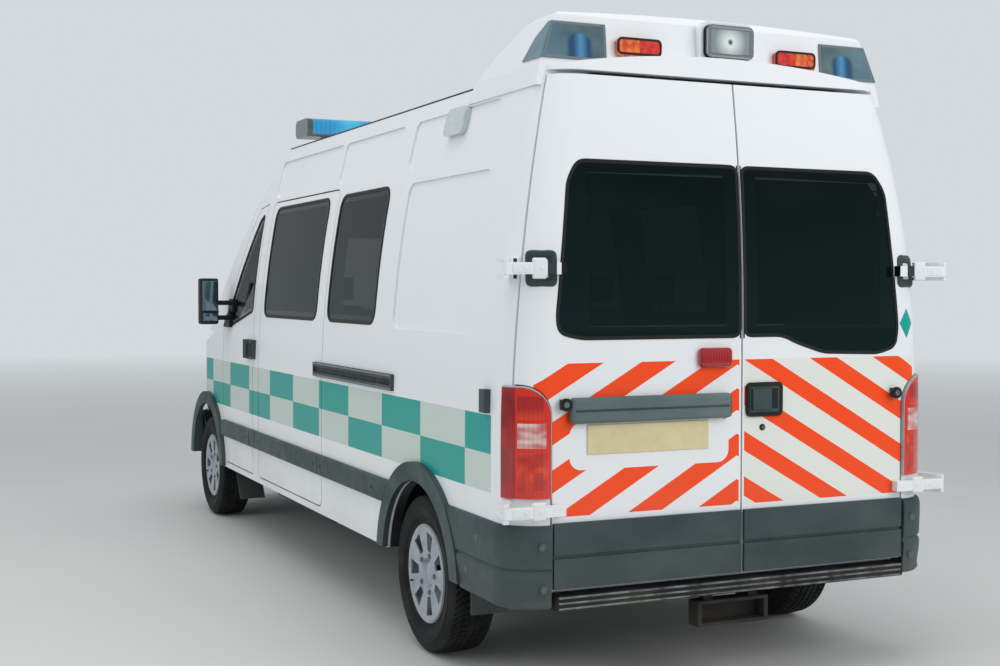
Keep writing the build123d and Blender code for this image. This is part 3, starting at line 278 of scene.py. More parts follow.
# Floor plate, rails, subframe, axle and rear step: folded and welded steel sheet, dipped in
# black stone-chip coating that carries patches of road dust.
def coat(node, finish):
    """Give a CAD node's material slots to one finish."""
    nodes[node].data.materials.clear()
    nodes[node].data.materials.append(finish.material)


underseal = Finish("underseal", (0.13, 0.13, 0.13), 0.8)
dust = underseal.noise(5.0, 6.0)
underseal.colour(underseal.mix(dust.ramp(0.45, 0.8, 0.0, 0.6), (0.12, 0.12, 0.12), (0.3, 0.28, 0.25)))
underseal.grain(160.0, 0.0015)
for node in ("underbody", "front_suspension", "rear_axle", "rear_step"):
    coat(node, underseal)

# Knuckles and engine block: iron cast in sand and left rough, with a thin rust bloom. The
# knuckles carry the stub axles, and the block is bolted in the nose.
casting = Finish("casting", (0.24, 0.23, 0.22), 0.7, Metallic=0.5)
casting.colour(
    casting.mix(casting.noise(22.0, 5.0).ramp(0.5, 0.75, 0.0, 0.7), (0.23, 0.23, 0.23), (0.3, 0.2, 0.14)))
casting.grain(300.0, 0.001, 3.0)
for node in ("front_left_knuckle", "front_right_knuckle", "engine_block"):
    coat(node, casting)

# Exhaust: aluminised steel pipe and silencer, welded up and hung on rubbers, dulled and
# browned by heat.
pipe_steel = Finish("pipe_steel", (0.45, 0.42, 0.38), 0.45, Metallic=0.9)
pipe_steel.clouds(9.0, 5.0, (0.50, 0.48, 0.45), (0.33, 0.24, 0.17))
coat("exhaust", pipe_steel)

# Fuel tank: blow-moulded black polythene with a fine mould grain, strapped under the
# floor.
tank_plastic = Finish("tank_plastic", (0.08, 0.08, 0.085), 0.55)
tank_plastic.grain(240.0, 0.0006)
coat("fuel_tank", tank_plastic)


# Tyres: black rubber, moulded with shoulder blocks, four grooves round the tread and a
# plain sidewall with two raised rings. Each is pressed on its rim.
TYRE_R = 0.343
TREAD_HALF_W = 0.088
BEAD_R = 0.2135
BLOCKS_ROUND = 72
GROOVE_DEPTH = 0.007
wheels = {
    "front_left": (2.125, 0.870, 1),
    "front_right": (2.125, -0.870, -1),
    "rear_left": (-1.953, 0.8625, 1),
    "rear_right": (-1.953, -0.8625, -1),
}


def fasten(piece, body):
    """The piece rides on a body."""
    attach(piece, body)
    return piece


def net(name, points, finish, caps=True, sharp=40.0):
    """A closed skin from a grid of points: the first way round joins up, and the ends of the second way are
    capped."""
    around, along = points.shape[:2]
    i, j = np.meshgrid(np.arange(around), np.arange(along - 1), indexing="ij")
    k = (i + 1) % around
    quads = np.stack(
        [i * along + j, k * along + j, k * along + j + 1, i * along + j + 1], axis=-1).reshape(-1, 4)
    faces = quads.tolist()
    if caps:
        faces.append((np.arange(around) * along)[::-1].tolist())
        faces.append((np.arange(around) * along + along - 1).tolist())
    piece = surface(name, points, faces, finish)
    outward(piece)
    piece.data.set_sharp_from_angle(angle=math.radians(sharp))
    return piece


def outward(piece):
    """Merge points that lie together and turn every face outwards."""
    shell = bmesh.new()
    shell.from_mesh(piece.data)
    bmesh.ops.remove_doubles(shell, verts=shell.verts, dist=0.00002)
    bmesh.ops.recalc_face_normals(shell, faces=shell.faces)
    shell.to_mesh(piece.data)
    shell.free()


def turned(name, centre, side, profile, finish, steps, relief=None):
    """A turned ring: the closed profile (radius, distance out) is carried round the wheel's own axis."""
    profile = np.array(profile, float)
    angle = np.linspace(0.0, 2 * np.pi, steps, endpoint=False)[:, None]
    radius = np.broadcast_to(profile[None, :, 0], (steps, len(profile))).copy()
    out = np.broadcast_to(profile[None, :, 1], radius.shape)
    if relief is not None:
        radius = radius + relief(angle, out)
    x = centre[0] + radius * np.cos(angle)
    y = centre[1] + side * out
    z = centre[2] + radius * np.sin(angle)
    grid = np.stack([x, np.broadcast_to(y, x.shape), z], axis=-1)
    grid = np.concatenate([grid, grid[:, :1]], axis=1)
    return net(name, grid, finish, caps=False)


def tread(angle, out):
    """Tread relief: rings sunk at fixed distances across, and slanted cuts between the shoulder blocks."""
    across = out / TREAD_HALF_W
    on_tread = np.clip((1.02 - np.abs(across)) * 20, 0, 1)
    rings = np.zeros_like(angle + out)
    for middle in (-0.52, -0.17, 0.17, 0.52):
        rings = np.maximum(rings, np.clip(1.6 - np.abs(across - middle) / 0.035, 0, 1))
    phase = (angle * BLOCKS_ROUND / (2 * np.pi) + 0.6 * np.sin(across * 4.0)) % 1.0
    cuts = np.clip((0.16 - np.abs(phase - 0.5)) * 30, 0, 1) * (np.abs(across) > 0.22)
    return -GROOVE_DEPTH * on_tread * np.maximum(rings, cuts)


rubber = Finish("tyre_rubber", (0.085, 0.09, 0.095), 0.72)
rubber.set("Specular IOR Level", 0.35)
worn = rubber.noise(14.0, 5.0).ramp(0.4, 0.75, 0.0, 0.55)
rubber.colour(rubber.mix(worn, (0.075, 0.08, 0.085), (0.20, 0.20, 0.19)))
rubber.grain(420.0, 0.0004)
SIDE_WALL = [
    (0.2135, 0.082), (0.2180, 0.0875), (0.2240, 0.0895), (0.2320, 0.0905), (0.2400, 0.0980),
    (0.2420, 0.1012), (0.2450, 0.1012), (0.2465, 0.0998), (0.2620, 0.1060), (0.2800, 0.1085),
    (0.2900, 0.1084), (0.2915, 0.1096), (0.2940, 0.1095), (0.2955, 0.1078), (0.3080, 0.1050),
    (0.3200, 0.1000), (0.3290, 0.0945), (0.3345, 0.0895)]
tread_out = np.linspace(TREAD_HALF_W, -TREAD_HALF_W, 61)
tread_r = TYRE_R - 0.0045 * (tread_out / TREAD_HALF_W) ** 2 - 0.0015 * (tread_out / TREAD_HALF_W) ** 8
side_array = np.array(SIDE_WALL)
inner_wall = [(BEAD_R, -0.082), (BEAD_R, -0.03), (BEAD_R, 0.03)]
tyre_profile = np.concatenate([
    side_array, np.stack([tread_r, tread_out], axis=1), side_array[::-1] * (1, -1), np.array(inner_wall)])
for wheel, (x, y, side) in wheels.items():
    tyre = turned(
        wheel + "_tyre_rubber", (x, y, TYRE_R), side, tyre_profile, rubber, steps=576, relief=tread)
    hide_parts(wheel + "_tyre")
    fasten(tyre, wheel + "_wheel")

# Rims and covers: pressed steel painted silver, with vent slots cut through and five wheel
# bolts round a plain centre cap. Each rim turns on the end of its axle.
silver = Finish("rim_silver", (0.66, 0.69, 0.72), 0.34, Metallic=0.55)
grime = silver.noise(16.0, 6.0).ramp(0.45, 0.8, 0.0, 0.5)
silver.colour(silver.mix(grime, (0.70, 0.73, 0.76), (0.44, 0.43, 0.42)))
silver.rough(silver.noise(30.0, 4.0).ramp(0.3, 0.7, 0.28, 0.5))
bolt_steel = Finish("bolt_steel", (0.55, 0.56, 0.57), 0.35, Metallic=0.9)
bolt_steel.grain(500.0, 0.0003)
BOLT_RING_R = 0.083
BOLT_COUNT = 5
BOLT = [
    (0.0, 0.080), (0.0140, 0.080), (0.0140, 0.0856), (0.0125, 0.0862), (0.0105, 0.0846), (0.0085, 0.0846),
    (0.0085, 0.0905), (0.0070, 0.0925), (0.0, 0.0930)]
CENTRE_CAP = [(0.0, 0.062), (0.0520, 0.062), (0.0535, 0.066), (0.0500, 0.0735), (0.0420, 0.0765),
              (0.0400, 0.0755), (0.0380, 0.0765), (0.0200, 0.0800), (0.0, 0.0808)]
VALVE = [(0.0, 0.080), (0.0042, 0.080), (0.0042, 0.1000), (0.0030, 0.1030), (0.0, 0.1040)]
VALVE_PLACE = (0.163, -0.060)
for wheel, (x, y, side) in wheels.items():
    coat(wheel + "_rim", silver)
    for number in range(BOLT_COUNT):
        turn = 2 * math.pi * (number + 0.5) / BOLT_COUNT
        centre = (x + BOLT_RING_R * math.cos(turn), y, TYRE_R + BOLT_RING_R * math.sin(turn))
        bolt = turned(f"{wheel}_bolt_{number}", centre, side, BOLT, bolt_steel, steps=24)
        fasten(bolt, wheel + "_wheel")
    cap = turned(wheel + "_centre_cap", (x, y, TYRE_R), side, CENTRE_CAP, silver, steps=64)
    fasten(cap, wheel + "_wheel")
    foot = (x + VALVE_PLACE[0], y, TYRE_R + VALVE_PLACE[1])
    fasten(turned(wheel + "_valve", foot, side, VALVE, rubber, steps=16), wheel + "_wheel")


# Body shell: pressed steel panels welded up and sprayed white, with film squares along both
# sides and slanted film bars on the rear doors. The inner lining is dark grey, and panel edges deep
# in the gaps carry the same grey as painted shade.
SIDE_STRAIGHT_Z = 1.0
SIDE_R = 5.45
HALF_W = 0.985
REAR_STRAIGHT_Z = 1.4
REAR_R = 6.141
REAR_X = -2.914
CORNER_R = 0.15
SQUARE_LONG = 0.4945
SQUARE_HIGH = 0.149
SQUARE_FRONT_X = 1.496
SQUARE_BACK_X = -2.715
SQUARE_NOSE_X = 2.395
SQUARE_LOW_Z = 0.798
SIDE_FACE_Y = 0.9
HINGE_FOOT_X = (-2.925, -2.845)
HINGE_FOOT_Z = (1.59, 1.723)
DOOR_SPLIT_Y = -0.022
CHEVRON_SLOPE = 0.569
CHEVRON_PITCH = 0.1815
CHEVRON_LOW_Z = 0.722
CHEVRON_TOP_Z = 1.300
CHEVRON_FACE_X = (-2.9155, -2.872)
CHEVRON_BARS = {"left": (1.099, 0.48), "right": (0.955, 0.43)}
PLATE_MIDDLE = (0.395, 0.985)
PLATE_HALF = (0.305, 0.040)
PLATE_MARGIN = 0.05
DIAMOND_MIDDLE = (-0.852, 1.437)
DIAMOND_HALF = (0.04, 0.0635)
WHITE = (0.925, 0.935, 0.945)
CREAM = (0.775, 0.83, 0.80)
GREEN = (0.0, 0.625, 0.585)
ORANGE = (0.985, 0.300, 0.085)
PALE_CREAM = (0.90, 0.91, 0.88)
# Grey of the inner lining, also painted as shade on the panel edges inside the gaps.
LINING_AND_GAP_SHADE_GREY = (0.16, 0.17, 0.18)
SCREEN_FOOT = (2.292, 1.370)
SCREEN_SQUARE = (0.625, 0.78)


def half_width(z):
    """Half the body's width at a height: straight up to 1 m, then an arc of 5.45 m radius leaning in."""
    return HALF_W - SIDE_R + np.sqrt(SIDE_R ** 2 - np.maximum(0.0, z - SIDE_STRAIGHT_Z) ** 2)


def rear_face(z):
    """The rear face's x at a height: straight up to 1.4 m, then an arc of 6.141 m radius leaning forward."""
    return REAR_X + REAR_R - np.sqrt(REAR_R ** 2 - np.maximum(0.0, z - REAR_STRAIGHT_Z) ** 2)


def arc_drop(z, straight, radius):
    """The same arcs in shader nodes: the radius less the root of its square less the rise's square."""
    rise = (z - straight).at_least(0.0)
    inside = radius ** 2 - rise * rise
    return radius - inside.root()


def skin_depth(finish):
    """How deep a point lies under the skin of the side wall, the rear face or the round corner between: the
    corner's radius less the distance from its centre line."""
    wide = HALF_W - CORNER_R - arc_drop(finish.z, SIDE_STRAIGHT_Z, SIDE_R)
    back = arc_drop(finish.z, REAR_STRAIGHT_Z, REAR_R) + (REAR_X + CORNER_R)
    a = (abs(finish.y) - wide).at_least(0.0)
    b = (back - finish.x).at_least(0.0)
    span = a.span(b)
    return CORNER_R - span


def weathered(finish, ground):
    """Road film: a faint grey noise that gathers below the waist, on top of the ground colour."""
    low = finish.z.ramp(0.35, 0.85, 1.0, 0.05)
    cloud = finish.noise(2.5, 3.0, (1.0, 1.0, 2.5)).ramp(0.35, 0.85, 0.0, 0.35)
    return finish.mix(low & cloud, ground, (0.6, 0.6, 0.58))


def sprayed(name, ground_of, depth_limit=0.013):
    """Gloss paint under a clear coat, with a faint orange peel; the inner lining is dark grey, and panel
    edges deep in the gaps get the same grey as painted shade.
    """
    paint = Finish(name, WHITE, 0.32)
    paint.set("Coat Weight", 0.15)
    paint.set("Specular IOR Level", 0.3)
    paint.set("Coat Roughness", 0.06)
    ground = ground_of(paint)
    if depth_limit:
        depth = skin_depth(paint)
        behind_foot, above_foot = SCREEN_FOOT[0] - paint.x, paint.z - SCREEN_FOOT[1]
        below_screen = behind_foot * SCREEN_SQUARE[0] - above_foot * SCREEN_SQUARE[1]
        in_cabin = (paint.x < 1.72) & (paint.z < 2.4) & (below_screen > 0.15)
        # Deeper than the limit under the skin: the grey inner lining, and painted shade on the panel edges
        # inside the gaps.
        lining = depth.between(depth_limit, 0.12) & in_cabin
        ground = paint.mix(lining, ground, LINING_AND_GAP_SHADE_GREY)
    paint.colour(weathered(paint, ground))
    paint.rough(paint.noise(4.0, 2.0).ramp(0.3, 0.75, 0.29, 0.36))
    paint.grain(260.0, 0.00012)
    return paint


def squares(paint):
    """Side squares: two rows of film squares, green where row and column add up to an odd number."""
    column = ((SQUARE_FRONT_X - paint.x) / SQUARE_LONG).floor()
    row = ((paint.z - SQUARE_LOW_Z) / SQUARE_HIGH).floor()
    odd = paint.sum("PINGPONG", column + row, 1.0)
    along = paint.x.between(SQUARE_BACK_X, SQUARE_NOSE_X) & (abs(paint.y) > SIDE_FACE_Y)
    band = along & paint.z.between(SQUARE_LOW_Z, SQUARE_LOW_Z + 2 * SQUARE_HIGH)
    speck = paint.noise(90.0, 3.0).ramp(0.3, 0.7, 0.0, 0.12)
    tile = paint.mix(odd, paint.mix(speck, CREAM, WHITE), paint.mix(speck, GREEN, (0.0, 0.54, 0.50)))
    foot = paint.z.between(*HINGE_FOOT_Z) & paint.x.between(*HINGE_FOOT_X) & (abs(paint.y) < 0.955)
    return paint.mix(foot, paint.mix(band, WHITE, tile), (0.14, 0.19, 0.20))


def chevrons(paint):
    """Rear bars: stripes of z + 0.569 |y|, on white at the left (bare round the plate) and on cream
    film at the right, with a green diamond and dark feet under the hinge arms."""
    spread = abs(paint.y - DOOR_SPLIT_Y)
    slant = paint.z + abs(paint.y) * CHEVRON_SLOPE
    on_face = paint.x.between(*CHEVRON_FACE_X) & (spread > 0.012) & (abs(paint.y) < 0.895)
    film = on_face & paint.z.between(CHEVRON_LOW_Z, CHEVRON_TOP_Z)
    bars = {}
    for door, (start, share) in CHEVRON_BARS.items():
        bars[door] = ((slant - start) / CHEVRON_PITCH).fract() < share
    past_plate = []
    for axis, middle, half in zip((paint.y, paint.z), PLATE_MIDDLE, PLATE_HALF):
        past_plate.append((abs(axis - middle) - half).at_least(0.0))
    bare = past_plate[0].span(past_plate[1]) < PLATE_MARGIN
    on_left = paint.mix(bare, paint.mix(bars["left"], WHITE, ORANGE), WHITE)
    on_right = paint.mix(bars["right"], PALE_CREAM, ORANGE)
    striped = paint.mix(paint.y > DOOR_SPLIT_Y, on_right, on_left)
    beside = abs(paint.y - DIAMOND_MIDDLE[0]) / DIAMOND_HALF[0]
    above = abs(paint.z - DIAMOND_MIDDLE[1]) / DIAMOND_HALF[1]
    diamond = (beside + above < 1.0) & (paint.x < -2.86)
    ground = paint.mix(diamond, paint.mix(film, WHITE, striped), GREEN)
    away = abs(paint.y)
    proud = (paint.x < -2.9165) & (paint.z > 1.6)
    ground = paint.mix(proud & away.between(0.822, 0.86), ground, (0.18, 0.22, 0.23))
    return paint.mix(proud & paint.y.between(-0.785, 0.803), ground, (0.03, 0.035, 0.035))


def plain(paint):
    """Plain white ground."""
    return paint.mix(paint.noise(0.9, 2.0).ramp(0.3, 0.7, 0.0, 0.5), WHITE, (0.9, 0.915, 0.93))


side_paint = sprayed("side_paint", squares)
for node in ("left_side_panel", "right_side_panel", "sliding_door", "cab_frame", "left_cab_door",
             "right_cab_door"):
    coat(node, side_paint)
wing_paint = sprayed("wing_paint", squares, depth_limit=None)
coat("front_wings", wing_paint)

# Wing closing panels: the side of each wing between the arch and the headlamp, one pressed
# sheet that follows the nose's round plan and ends at the arch trim and the bumper.
WING_PLAN_X = (2.246, 2.303, 2.336, 2.372, 2.405, 2.440)
WING_PLAN_Y = (0.9745, 0.962, 0.952, 0.940, 0.927, 0.9115)
WING_SHEET = 0.006
WING_TOP_Z = 1.1905
WING_TOP_FALL = 0.495
WING_LOW_Z = 0.704
FRONT_ARCH = (2.125, 0.373, 0.424)
SIDES = ((1, "left"), (-1, "right"))
for side, label in SIDES:
    run_x = np.linspace(WING_PLAN_X[0], WING_PLAN_X[-1], 28)
    outer_y = np.interp(run_x, WING_PLAN_X, WING_PLAN_Y)
    top_z = WING_TOP_Z - (run_x - 2.25) * WING_TOP_FALL
    arch_z = FRONT_ARCH[1] + np.sqrt(np.maximum(FRONT_ARCH[2] ** 2 - (run_x - FRONT_ARCH[0]) ** 2, 0.0))
    low_z = np.maximum(arch_z, WING_LOW_Z)
    rise = np.linspace(0.0, 1.0, 16)[:, None]
    wall_z = low_z + rise * (top_z - low_z)
    outer = np.stack(
        [np.broadcast_to(run_x, wall_z.shape), np.broadcast_to(side * outer_y, wall_z.shape), wall_z], -1)
    inner = outer[::-1] - np.array([0.0, side * WING_SHEET, 0.0])
    panel = net(label + "_wing_closing_panel", np.concatenate([outer, inner]), wing_paint)
    fasten(panel, "body")
rear_paint = sprayed("rear_door_paint", chevrons)
for node in ("left_rear_door", "right_rear_door"):
    coat(node, rear_paint)
plain_paint = sprayed("plain_paint", plain, depth_limit=None)
for node in ("roof", "bonnet", "nose_panel"):
    coat(node, plain_paint)
pod_paint = sprayed("pod_paint", plain, depth_limit=None)
pod_paint.set("Coat Weight", 0.2)
pod_paint.grain(35.0, 0.0006, 3.0)
coat("roof_pod", pod_paint)

# Rear frame, bulkhead and partition: the same welded steel, with grey lining boards riveted
# over the bulkhead and partition.
lining = Finish("lining_board", (0.42, 0.43, 0.44), 0.7)
lining.clouds(4.0, 4.0, (0.38, 0.39, 0.40), (0.48, 0.49, 0.50))
lining.grain(180.0, 0.0006, 3.0)
coat("bulkheads", lining)
coat("rear_frame", plain_paint)


# Windows: tinted safety glass bonded into its openings, with a printed black border. The
# pair in the rear doors is darker. Seen from outside it reflects the sky.
LOW_PANE_TINT = (0.12, 0.22, 0.22)
SIDE_WINDOWS = ((-0.38, 0.69), (-1.32, -0.58))
BORDER_W = 0.034


def pane(name, tint, clear, border=None):
    """Tinted glass: most light passes or is reflected; clear is the share that passes straight through."""
    glass = Finish(name, tint, 0.03)
    glass.set("IOR", 1.5)
    glass.set("Specular IOR Level", 0.25)
    glass.set("Specular Tint", (0.45, 0.80, 0.82, 1.0))
    smear = glass.noise(2.5, 5.0, (1.0, 1.0, 2.0)).ramp(0.5, 0.8, 0.0, 0.1)
    glass.rough(glass.noise(5.0, 4.0).ramp(0.4, 0.8, 0.02, 0.06))
    # Each pane runs from a lighter teal mix at 1.4 m to its plain tint at 2.0 m.
    low_pane_mix = tuple(0.6 * c + 0.4 * h for c, h in zip(tint, LOW_PANE_TINT))
    toned = glass.mix(glass.z.ramp(1.4, 2.0, 1.0, 0.0), tint, low_pane_mix)
    glass.colour(glass.mix(smear, toned, (0.20, 0.23, 0.24)))
    solid = 1.0 - clear
    if border is not None:
        solid = border(glass).ramp(0.0, 1.0, solid, 1.0)
    glass.feed(glass.shader.inputs["Alpha"], solid)
    return glass


def side_border(glass):
    """One near the rounded edges of the side windows, from their flat outlines in x and z."""
    masks = []
    for back, front in SIDE_WINDOWS:
        masks.append(glass.x.between(back + BORDER_W, front - BORDER_W) & glass.z.between(1.449, 2.026))
    return 1.0 - (masks[0] + masks[1])


def rear_border(glass):
    """One near the edges of the rear windows: top, gap and bottom bands."""
    away = abs(glass.y - DOOR_SPLIT_Y)
    return 1.0 - (away.between(0.075, 0.69) & glass.z.between(1.435, 2.03))


coat("side_glass", pane("side_window_glass", (0.035, 0.065, 0.065), 0.30, side_border))
rear_glass = pane("rear_window_glass", (0.012, 0.026, 0.022), 0.17, rear_border)
for node in ("left_rear_glass", "right_rear_glass"):
    coat(node, rear_glass)
cab_glass = pane("cab_window_glass", (0.06, 0.09, 0.085), 0.60)
for node in ("left_cab_glass", "right_cab_glass", "windscreen"):
    coat(node, cab_glass)


# Window rubbers: black extruded seals pressed round the edge of each pane, with a rounded
# lip that stands a few millimetres proud of the paint.
def rounded_path(corners, radius):
    """A closed outline of straight sides and arcs: each corner's two cut points are joined by a curve whose
    points are a quadratic blend of cut point, corner and cut point."""
    corner = np.array(corners, float)
    before = np.roll(corner, 1, axis=0) - corner
    after = np.roll(corner, -1, axis=0) - corner
    reach_before = np.minimum(radius, 0.45 * np.linalg.norm(before, axis=1))[:, None]
    reach_after = np.minimum(radius, 0.45 * np.linalg.norm(after, axis=1))[:, None]
    start = corner + before / np.linalg.norm(before, axis=1)[:, None] * reach_before
    end = corner + after / np.linalg.norm(after, axis=1)[:, None] * reach_after
    t = np.linspace(0, 1, 8)[None, :, None]
    curve = (1 - t) ** 2 * start[:, None] + 2 * t * (1 - t) * corner[:, None] + t ** 2 * end[:, None]
    path = curve.reshape(-1, 2)
    ring = np.concatenate([path, path[:1]])
    gaps = np.linalg.norm(np.diff(ring, axis=0), axis=1)
    length = np.concatenate([[0], np.cumsum(gaps)])
    wanted = np.unique(np.concatenate([length[:-1], np.arange(0, length[-1], 0.05)]))
    keep = np.concatenate([[True], np.diff(wanted) > 0.0005])
    wanted = wanted[keep]
    return np.stack([np.interp(wanted, length, ring[:, 0]), np.interp(wanted, length, ring[:, 1])], axis=1)


def on_side(flat, side, out):
    """A flat (x, z) point on the left or right wall, standing out from the skin by a distance."""
    x, z = flat[..., 0], flat[..., 1]
    lean = np.maximum(0.0, z - SIDE_STRAIGHT_Z) / SIDE_R
    return np.stack([x, side * (half_width(z) + out * np.sqrt(1 - lean ** 2)), z + out * lean], axis=-1)


def on_rear(flat, side, out):
    """A flat (y, z) point on the rear doors, standing out behind the skin by a distance."""
    y, z = flat[..., 0], flat[..., 1]
    lean = np.maximum(0.0, z - REAR_STRAIGHT_Z) / REAR_R
    return np.stack([rear_face(z) - out * np.sqrt(1 - lean ** 2), y, z + out * lean], axis=-1)


def lipped(name, path, place, side, profile, finish, closed=True):
    """A strip along a flat path on the body: each profile point (sideways, out) moves off the path along its
    flat normal and off the skin, so the strip follows the body's curve."""
    step = np.roll(path, -1, axis=0) - np.roll(path, 1, axis=0)
    if not closed:
        step[0] = path[1] - path[0]
        step[-1] = path[-1] - path[-2]
    step = step / np.linalg.norm(step, axis=1)[:, None]
    normal = np.stack([step[:, 1], -step[:, 0]], axis=1)
    profile = np.array(profile, float)
    flat = path[None, :, :] + profile[:, None, :1] * normal[None, :, :]
    out = np.broadcast_to(profile[:, 1][:, None], flat.shape[:2])
    grid = place(flat, side, out)
    if closed:
        grid = np.concatenate([grid, grid[:, :1]], axis=1)
    return net(name, grid, finish, caps=not closed)


seal_rubber = Finish("seal_rubber", (0.055, 0.06, 0.06), 0.5)
seal_rubber.clouds(40.0, 4.0, (0.045, 0.05, 0.05), (0.09, 0.095, 0.095))
seal_rubber.grain(500.0, 0.0002)
SEAL = [
    (-0.010, -0.0035), (0.009, -0.0035), (0.0095, 0.0005), (0.006, 0.0035), (0.0, 0.0045), (-0.007, 0.0035),
    (-0.0105, 0.0)]
seals = []
for side, label in SIDES:
    for number, (back, front) in enumerate(SIDE_WINDOWS):
        corners = [(back, 1.415), (front, 1.415), (front, 2.060), (back, 2.060)]
        seal = lipped(
            f"{label}_window_seal_{number}", rounded_path(corners, 0.075), on_side, side, SEAL, seal_rubber)
        seals.append((seal, "body"))
    cab_corners = [
        (0.965, 1.440), (1.500, 1.338), (1.590, 1.392), (1.348, 1.676), (1.165, 1.880), (1.045, 2.005),
        (0.965, 2.040)]
    seal = lipped(
        label + "_cab_window_seal", rounded_path(cab_corners, 0.03), on_side, side, SEAL, seal_rubber)
    seals.append((seal, label + "_cab_door"))
rear_outlines = {
    "left": [
        (-0.010, 1.394), (-0.010, 2.066), (0.700, 2.066), (0.745, 1.990), (0.802, 1.470), (0.790, 1.414),
        (0.700, 1.394)],
    "right": [
        (-0.034, 1.394), (-0.034, 2.066), (-0.690, 2.066), (-0.745, 1.990), (-0.802, 1.420),
        (-0.790, 1.340), (-0.700, 1.314), (-0.420, 1.322), (-0.290, 1.362), (-0.215, 1.394)]}
REAR_SEAL = [
    (-0.009, -0.0035), (0.006, -0.0035), (0.0065, 0.0005), (0.003, 0.003), (-0.002, 0.0035), (-0.008, 0.002)
]
for label, corners in rear_outlines.items():
    seal = lipped(
        label + "_rear_window_seal", rounded_path(corners, 0.035), on_rear, 1, REAR_SEAL, seal_rubber)
    seals.append((seal, label + "_rear_door"))
for seal, body in seals:
    fasten(seal, body)


# Rear door joint: black rubber strips pressed on the edges of the two doors, where they meet
# between the windows.
def straight_path(first, last, steps=40):
    """Points evenly spaced from the first to the last."""
    return np.array(first) + (np.array(last) - np.array(first)) * np.linspace(0, 1, steps)[:, None]


EDGE_STRIP = [(-0.0030, -0.004), (0.0030, -0.004), (0.0032, 0.0006), (0.0, 0.0018), (-0.0032, 0.0006)]
for label, y in (("left", -0.0135), ("right", -0.0305)):
    path = straight_path((y, 1.384), (y, 2.072))
    strip = lipped(label + "_door_edge_strip", path, on_rear, 1, EDGE_STRIP, seal_rubber, closed=False)
    fasten(strip, label + "_rear_door")


# Bumpers, rub strips, arch trims, cladding and pull bar: injection moulded dark grey
# plastic, grained, greyed by the sun in clouds and dusty low down.
def moulded(name, tint, faded, grain=0.0004):
    """Grained plastic: the tint fades by a cloud, and dust gathers from 0.6 m down to 0.25 m."""
    plastic = Finish(name, tint, 0.5)
    plastic.set("Specular IOR Level", 0.45)
    cloud = plastic.noise(2.2, 6.0, (1.0, 1.0, 2.0)).ramp(0.35, 0.7, 0.0, 0.7)
    dusty = plastic.z.ramp(0.25, 0.6, 0.55, 0.0)
    body_tint = plastic.mix(cloud, tint, faded)
    plastic.colour(plastic.mix(dusty & plastic.noise(9.0, 4.0), body_tint, (0.42, 0.41, 0.38)))
    plastic.rough(plastic.noise(12.0, 4.0).ramp(0.3, 0.7, 0.42, 0.6))
    plastic.grain(650.0, grain, 3.0)
    return plastic


TRIM_TINT = (0.165, 0.235, 0.240)
TRIM_FADED = (0.30, 0.345, 0.35)
trim_plastic = moulded("trim_plastic", TRIM_TINT, TRIM_FADED)
for node in ("side_trims", "front_bumper", "left_rear_fittings", "right_rear_fittings", "left_door_fittings",
             "right_door_fittings"):
    coat(node, trim_plastic)
black_plastic = moulded("black_plastic", (0.06, 0.065, 0.07), (0.11, 0.12, 0.125))
coat("grille", black_plastic)

# Rear bumper corners: a hollow moulding that wraps each corner from the wheel arch to the
# door, with a raised upper band, a long groove, a rolled lower lip and sunk screws.
BUMPER_INNER_Y = 0.830
BUMPER_FRONT_X = -2.330
ARCH_CENTRE = (-1.953, 0.343)
ARCH_TRIM_R = 0.490
bumper_section = [
    (0.694, -0.012), (0.694, 0.004), (0.690, 0.012), (0.680, 0.018), (0.664, 0.0215), (0.620, 0.0220),
    (0.560, 0.0200), (0.540, 0.0190), (0.533, 0.0175), (0.529, 0.0125), (0.525, 0.0105), (0.519, 0.0125),
    (0.513, 0.0185), (0.500, 0.0205), (0.470, 0.0190), (0.440, 0.0155), (0.418, 0.0125), (0.404, 0.0130),
    (0.396, 0.0150), (0.388, 0.0135), (0.380, 0.0060), (0.378, -0.0020), (0.378, -0.012)]


def corner_line(steps):
    """The bumper's plan line and its outward direction: along the side, round a 150 mm quarter circle, then
    across the rear face to the door."""
    centre = np.array([REAR_X + CORNER_R, HALF_W - CORNER_R])
    straight = steps // 3
    side_x = np.linspace(BUMPER_FRONT_X, centre[0], straight, endpoint=False)
    turn = np.linspace(np.pi / 2, np.pi, steps - straight - 3, endpoint=False)
    rear_y = np.linspace(centre[1], BUMPER_INNER_Y, 3)
    x = np.concatenate([side_x, centre[0] + CORNER_R * np.cos(turn), np.full(3, REAR_X)])
    y = np.concatenate([np.full(straight, HALF_W), centre[1] + CORNER_R * np.sin(turn), rear_y])
    ox = np.concatenate([np.zeros(straight), np.cos(turn), np.full(3, -1.0)])
    oy = np.concatenate([np.ones(straight), np.sin(turn), np.zeros(3)])
    return x, y, ox, oy


def wrapped_bumper(label, side):
    """The section (height, distance out) carried along the plan line; near the wheel its points slide back to
    stay outside the arch circle."""
    x, y, ox, oy = corner_line(60)
    section = np.array(bumper_section)
    z = np.broadcast_to(section[:, 0][:, None], (len(section), len(x))).copy()
    out = section[:, 1][:, None]
    arch_x = ARCH_CENTRE[0] - np.sqrt(np.maximum(0.0, ARCH_TRIM_R ** 2 - (z[:, :1] - ARCH_CENTRE[1]) ** 2))
    share = np.clip((x[None, :] - (REAR_X + CORNER_R)) / (BUMPER_FRONT_X - REAR_X - CORNER_R), 0, 1)
    along = np.where(share > 0, (REAR_X + CORNER_R) + share * (arch_x - (REAR_X + CORNER_R)), x[None, :])
    grid = np.stack([along + out * ox, side * (y + out * oy), z], axis=-1)
    piece = net(label + "_rear_bumper", grid.astype(float), trim_plastic, sharp=28.0)
    fasten(piece, "body")
    return piece


rear_bumpers = [wrapped_bumper("left", 1), wrapped_bumper("right", -1)]
for piece in rear_bumpers:
    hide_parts("rear_bumper")
screw_steel = Finish("screw_steel", (0.50, 0.52, 0.53), 0.4, Metallic=0.85)
screw_steel.grain(600.0, 0.0002)


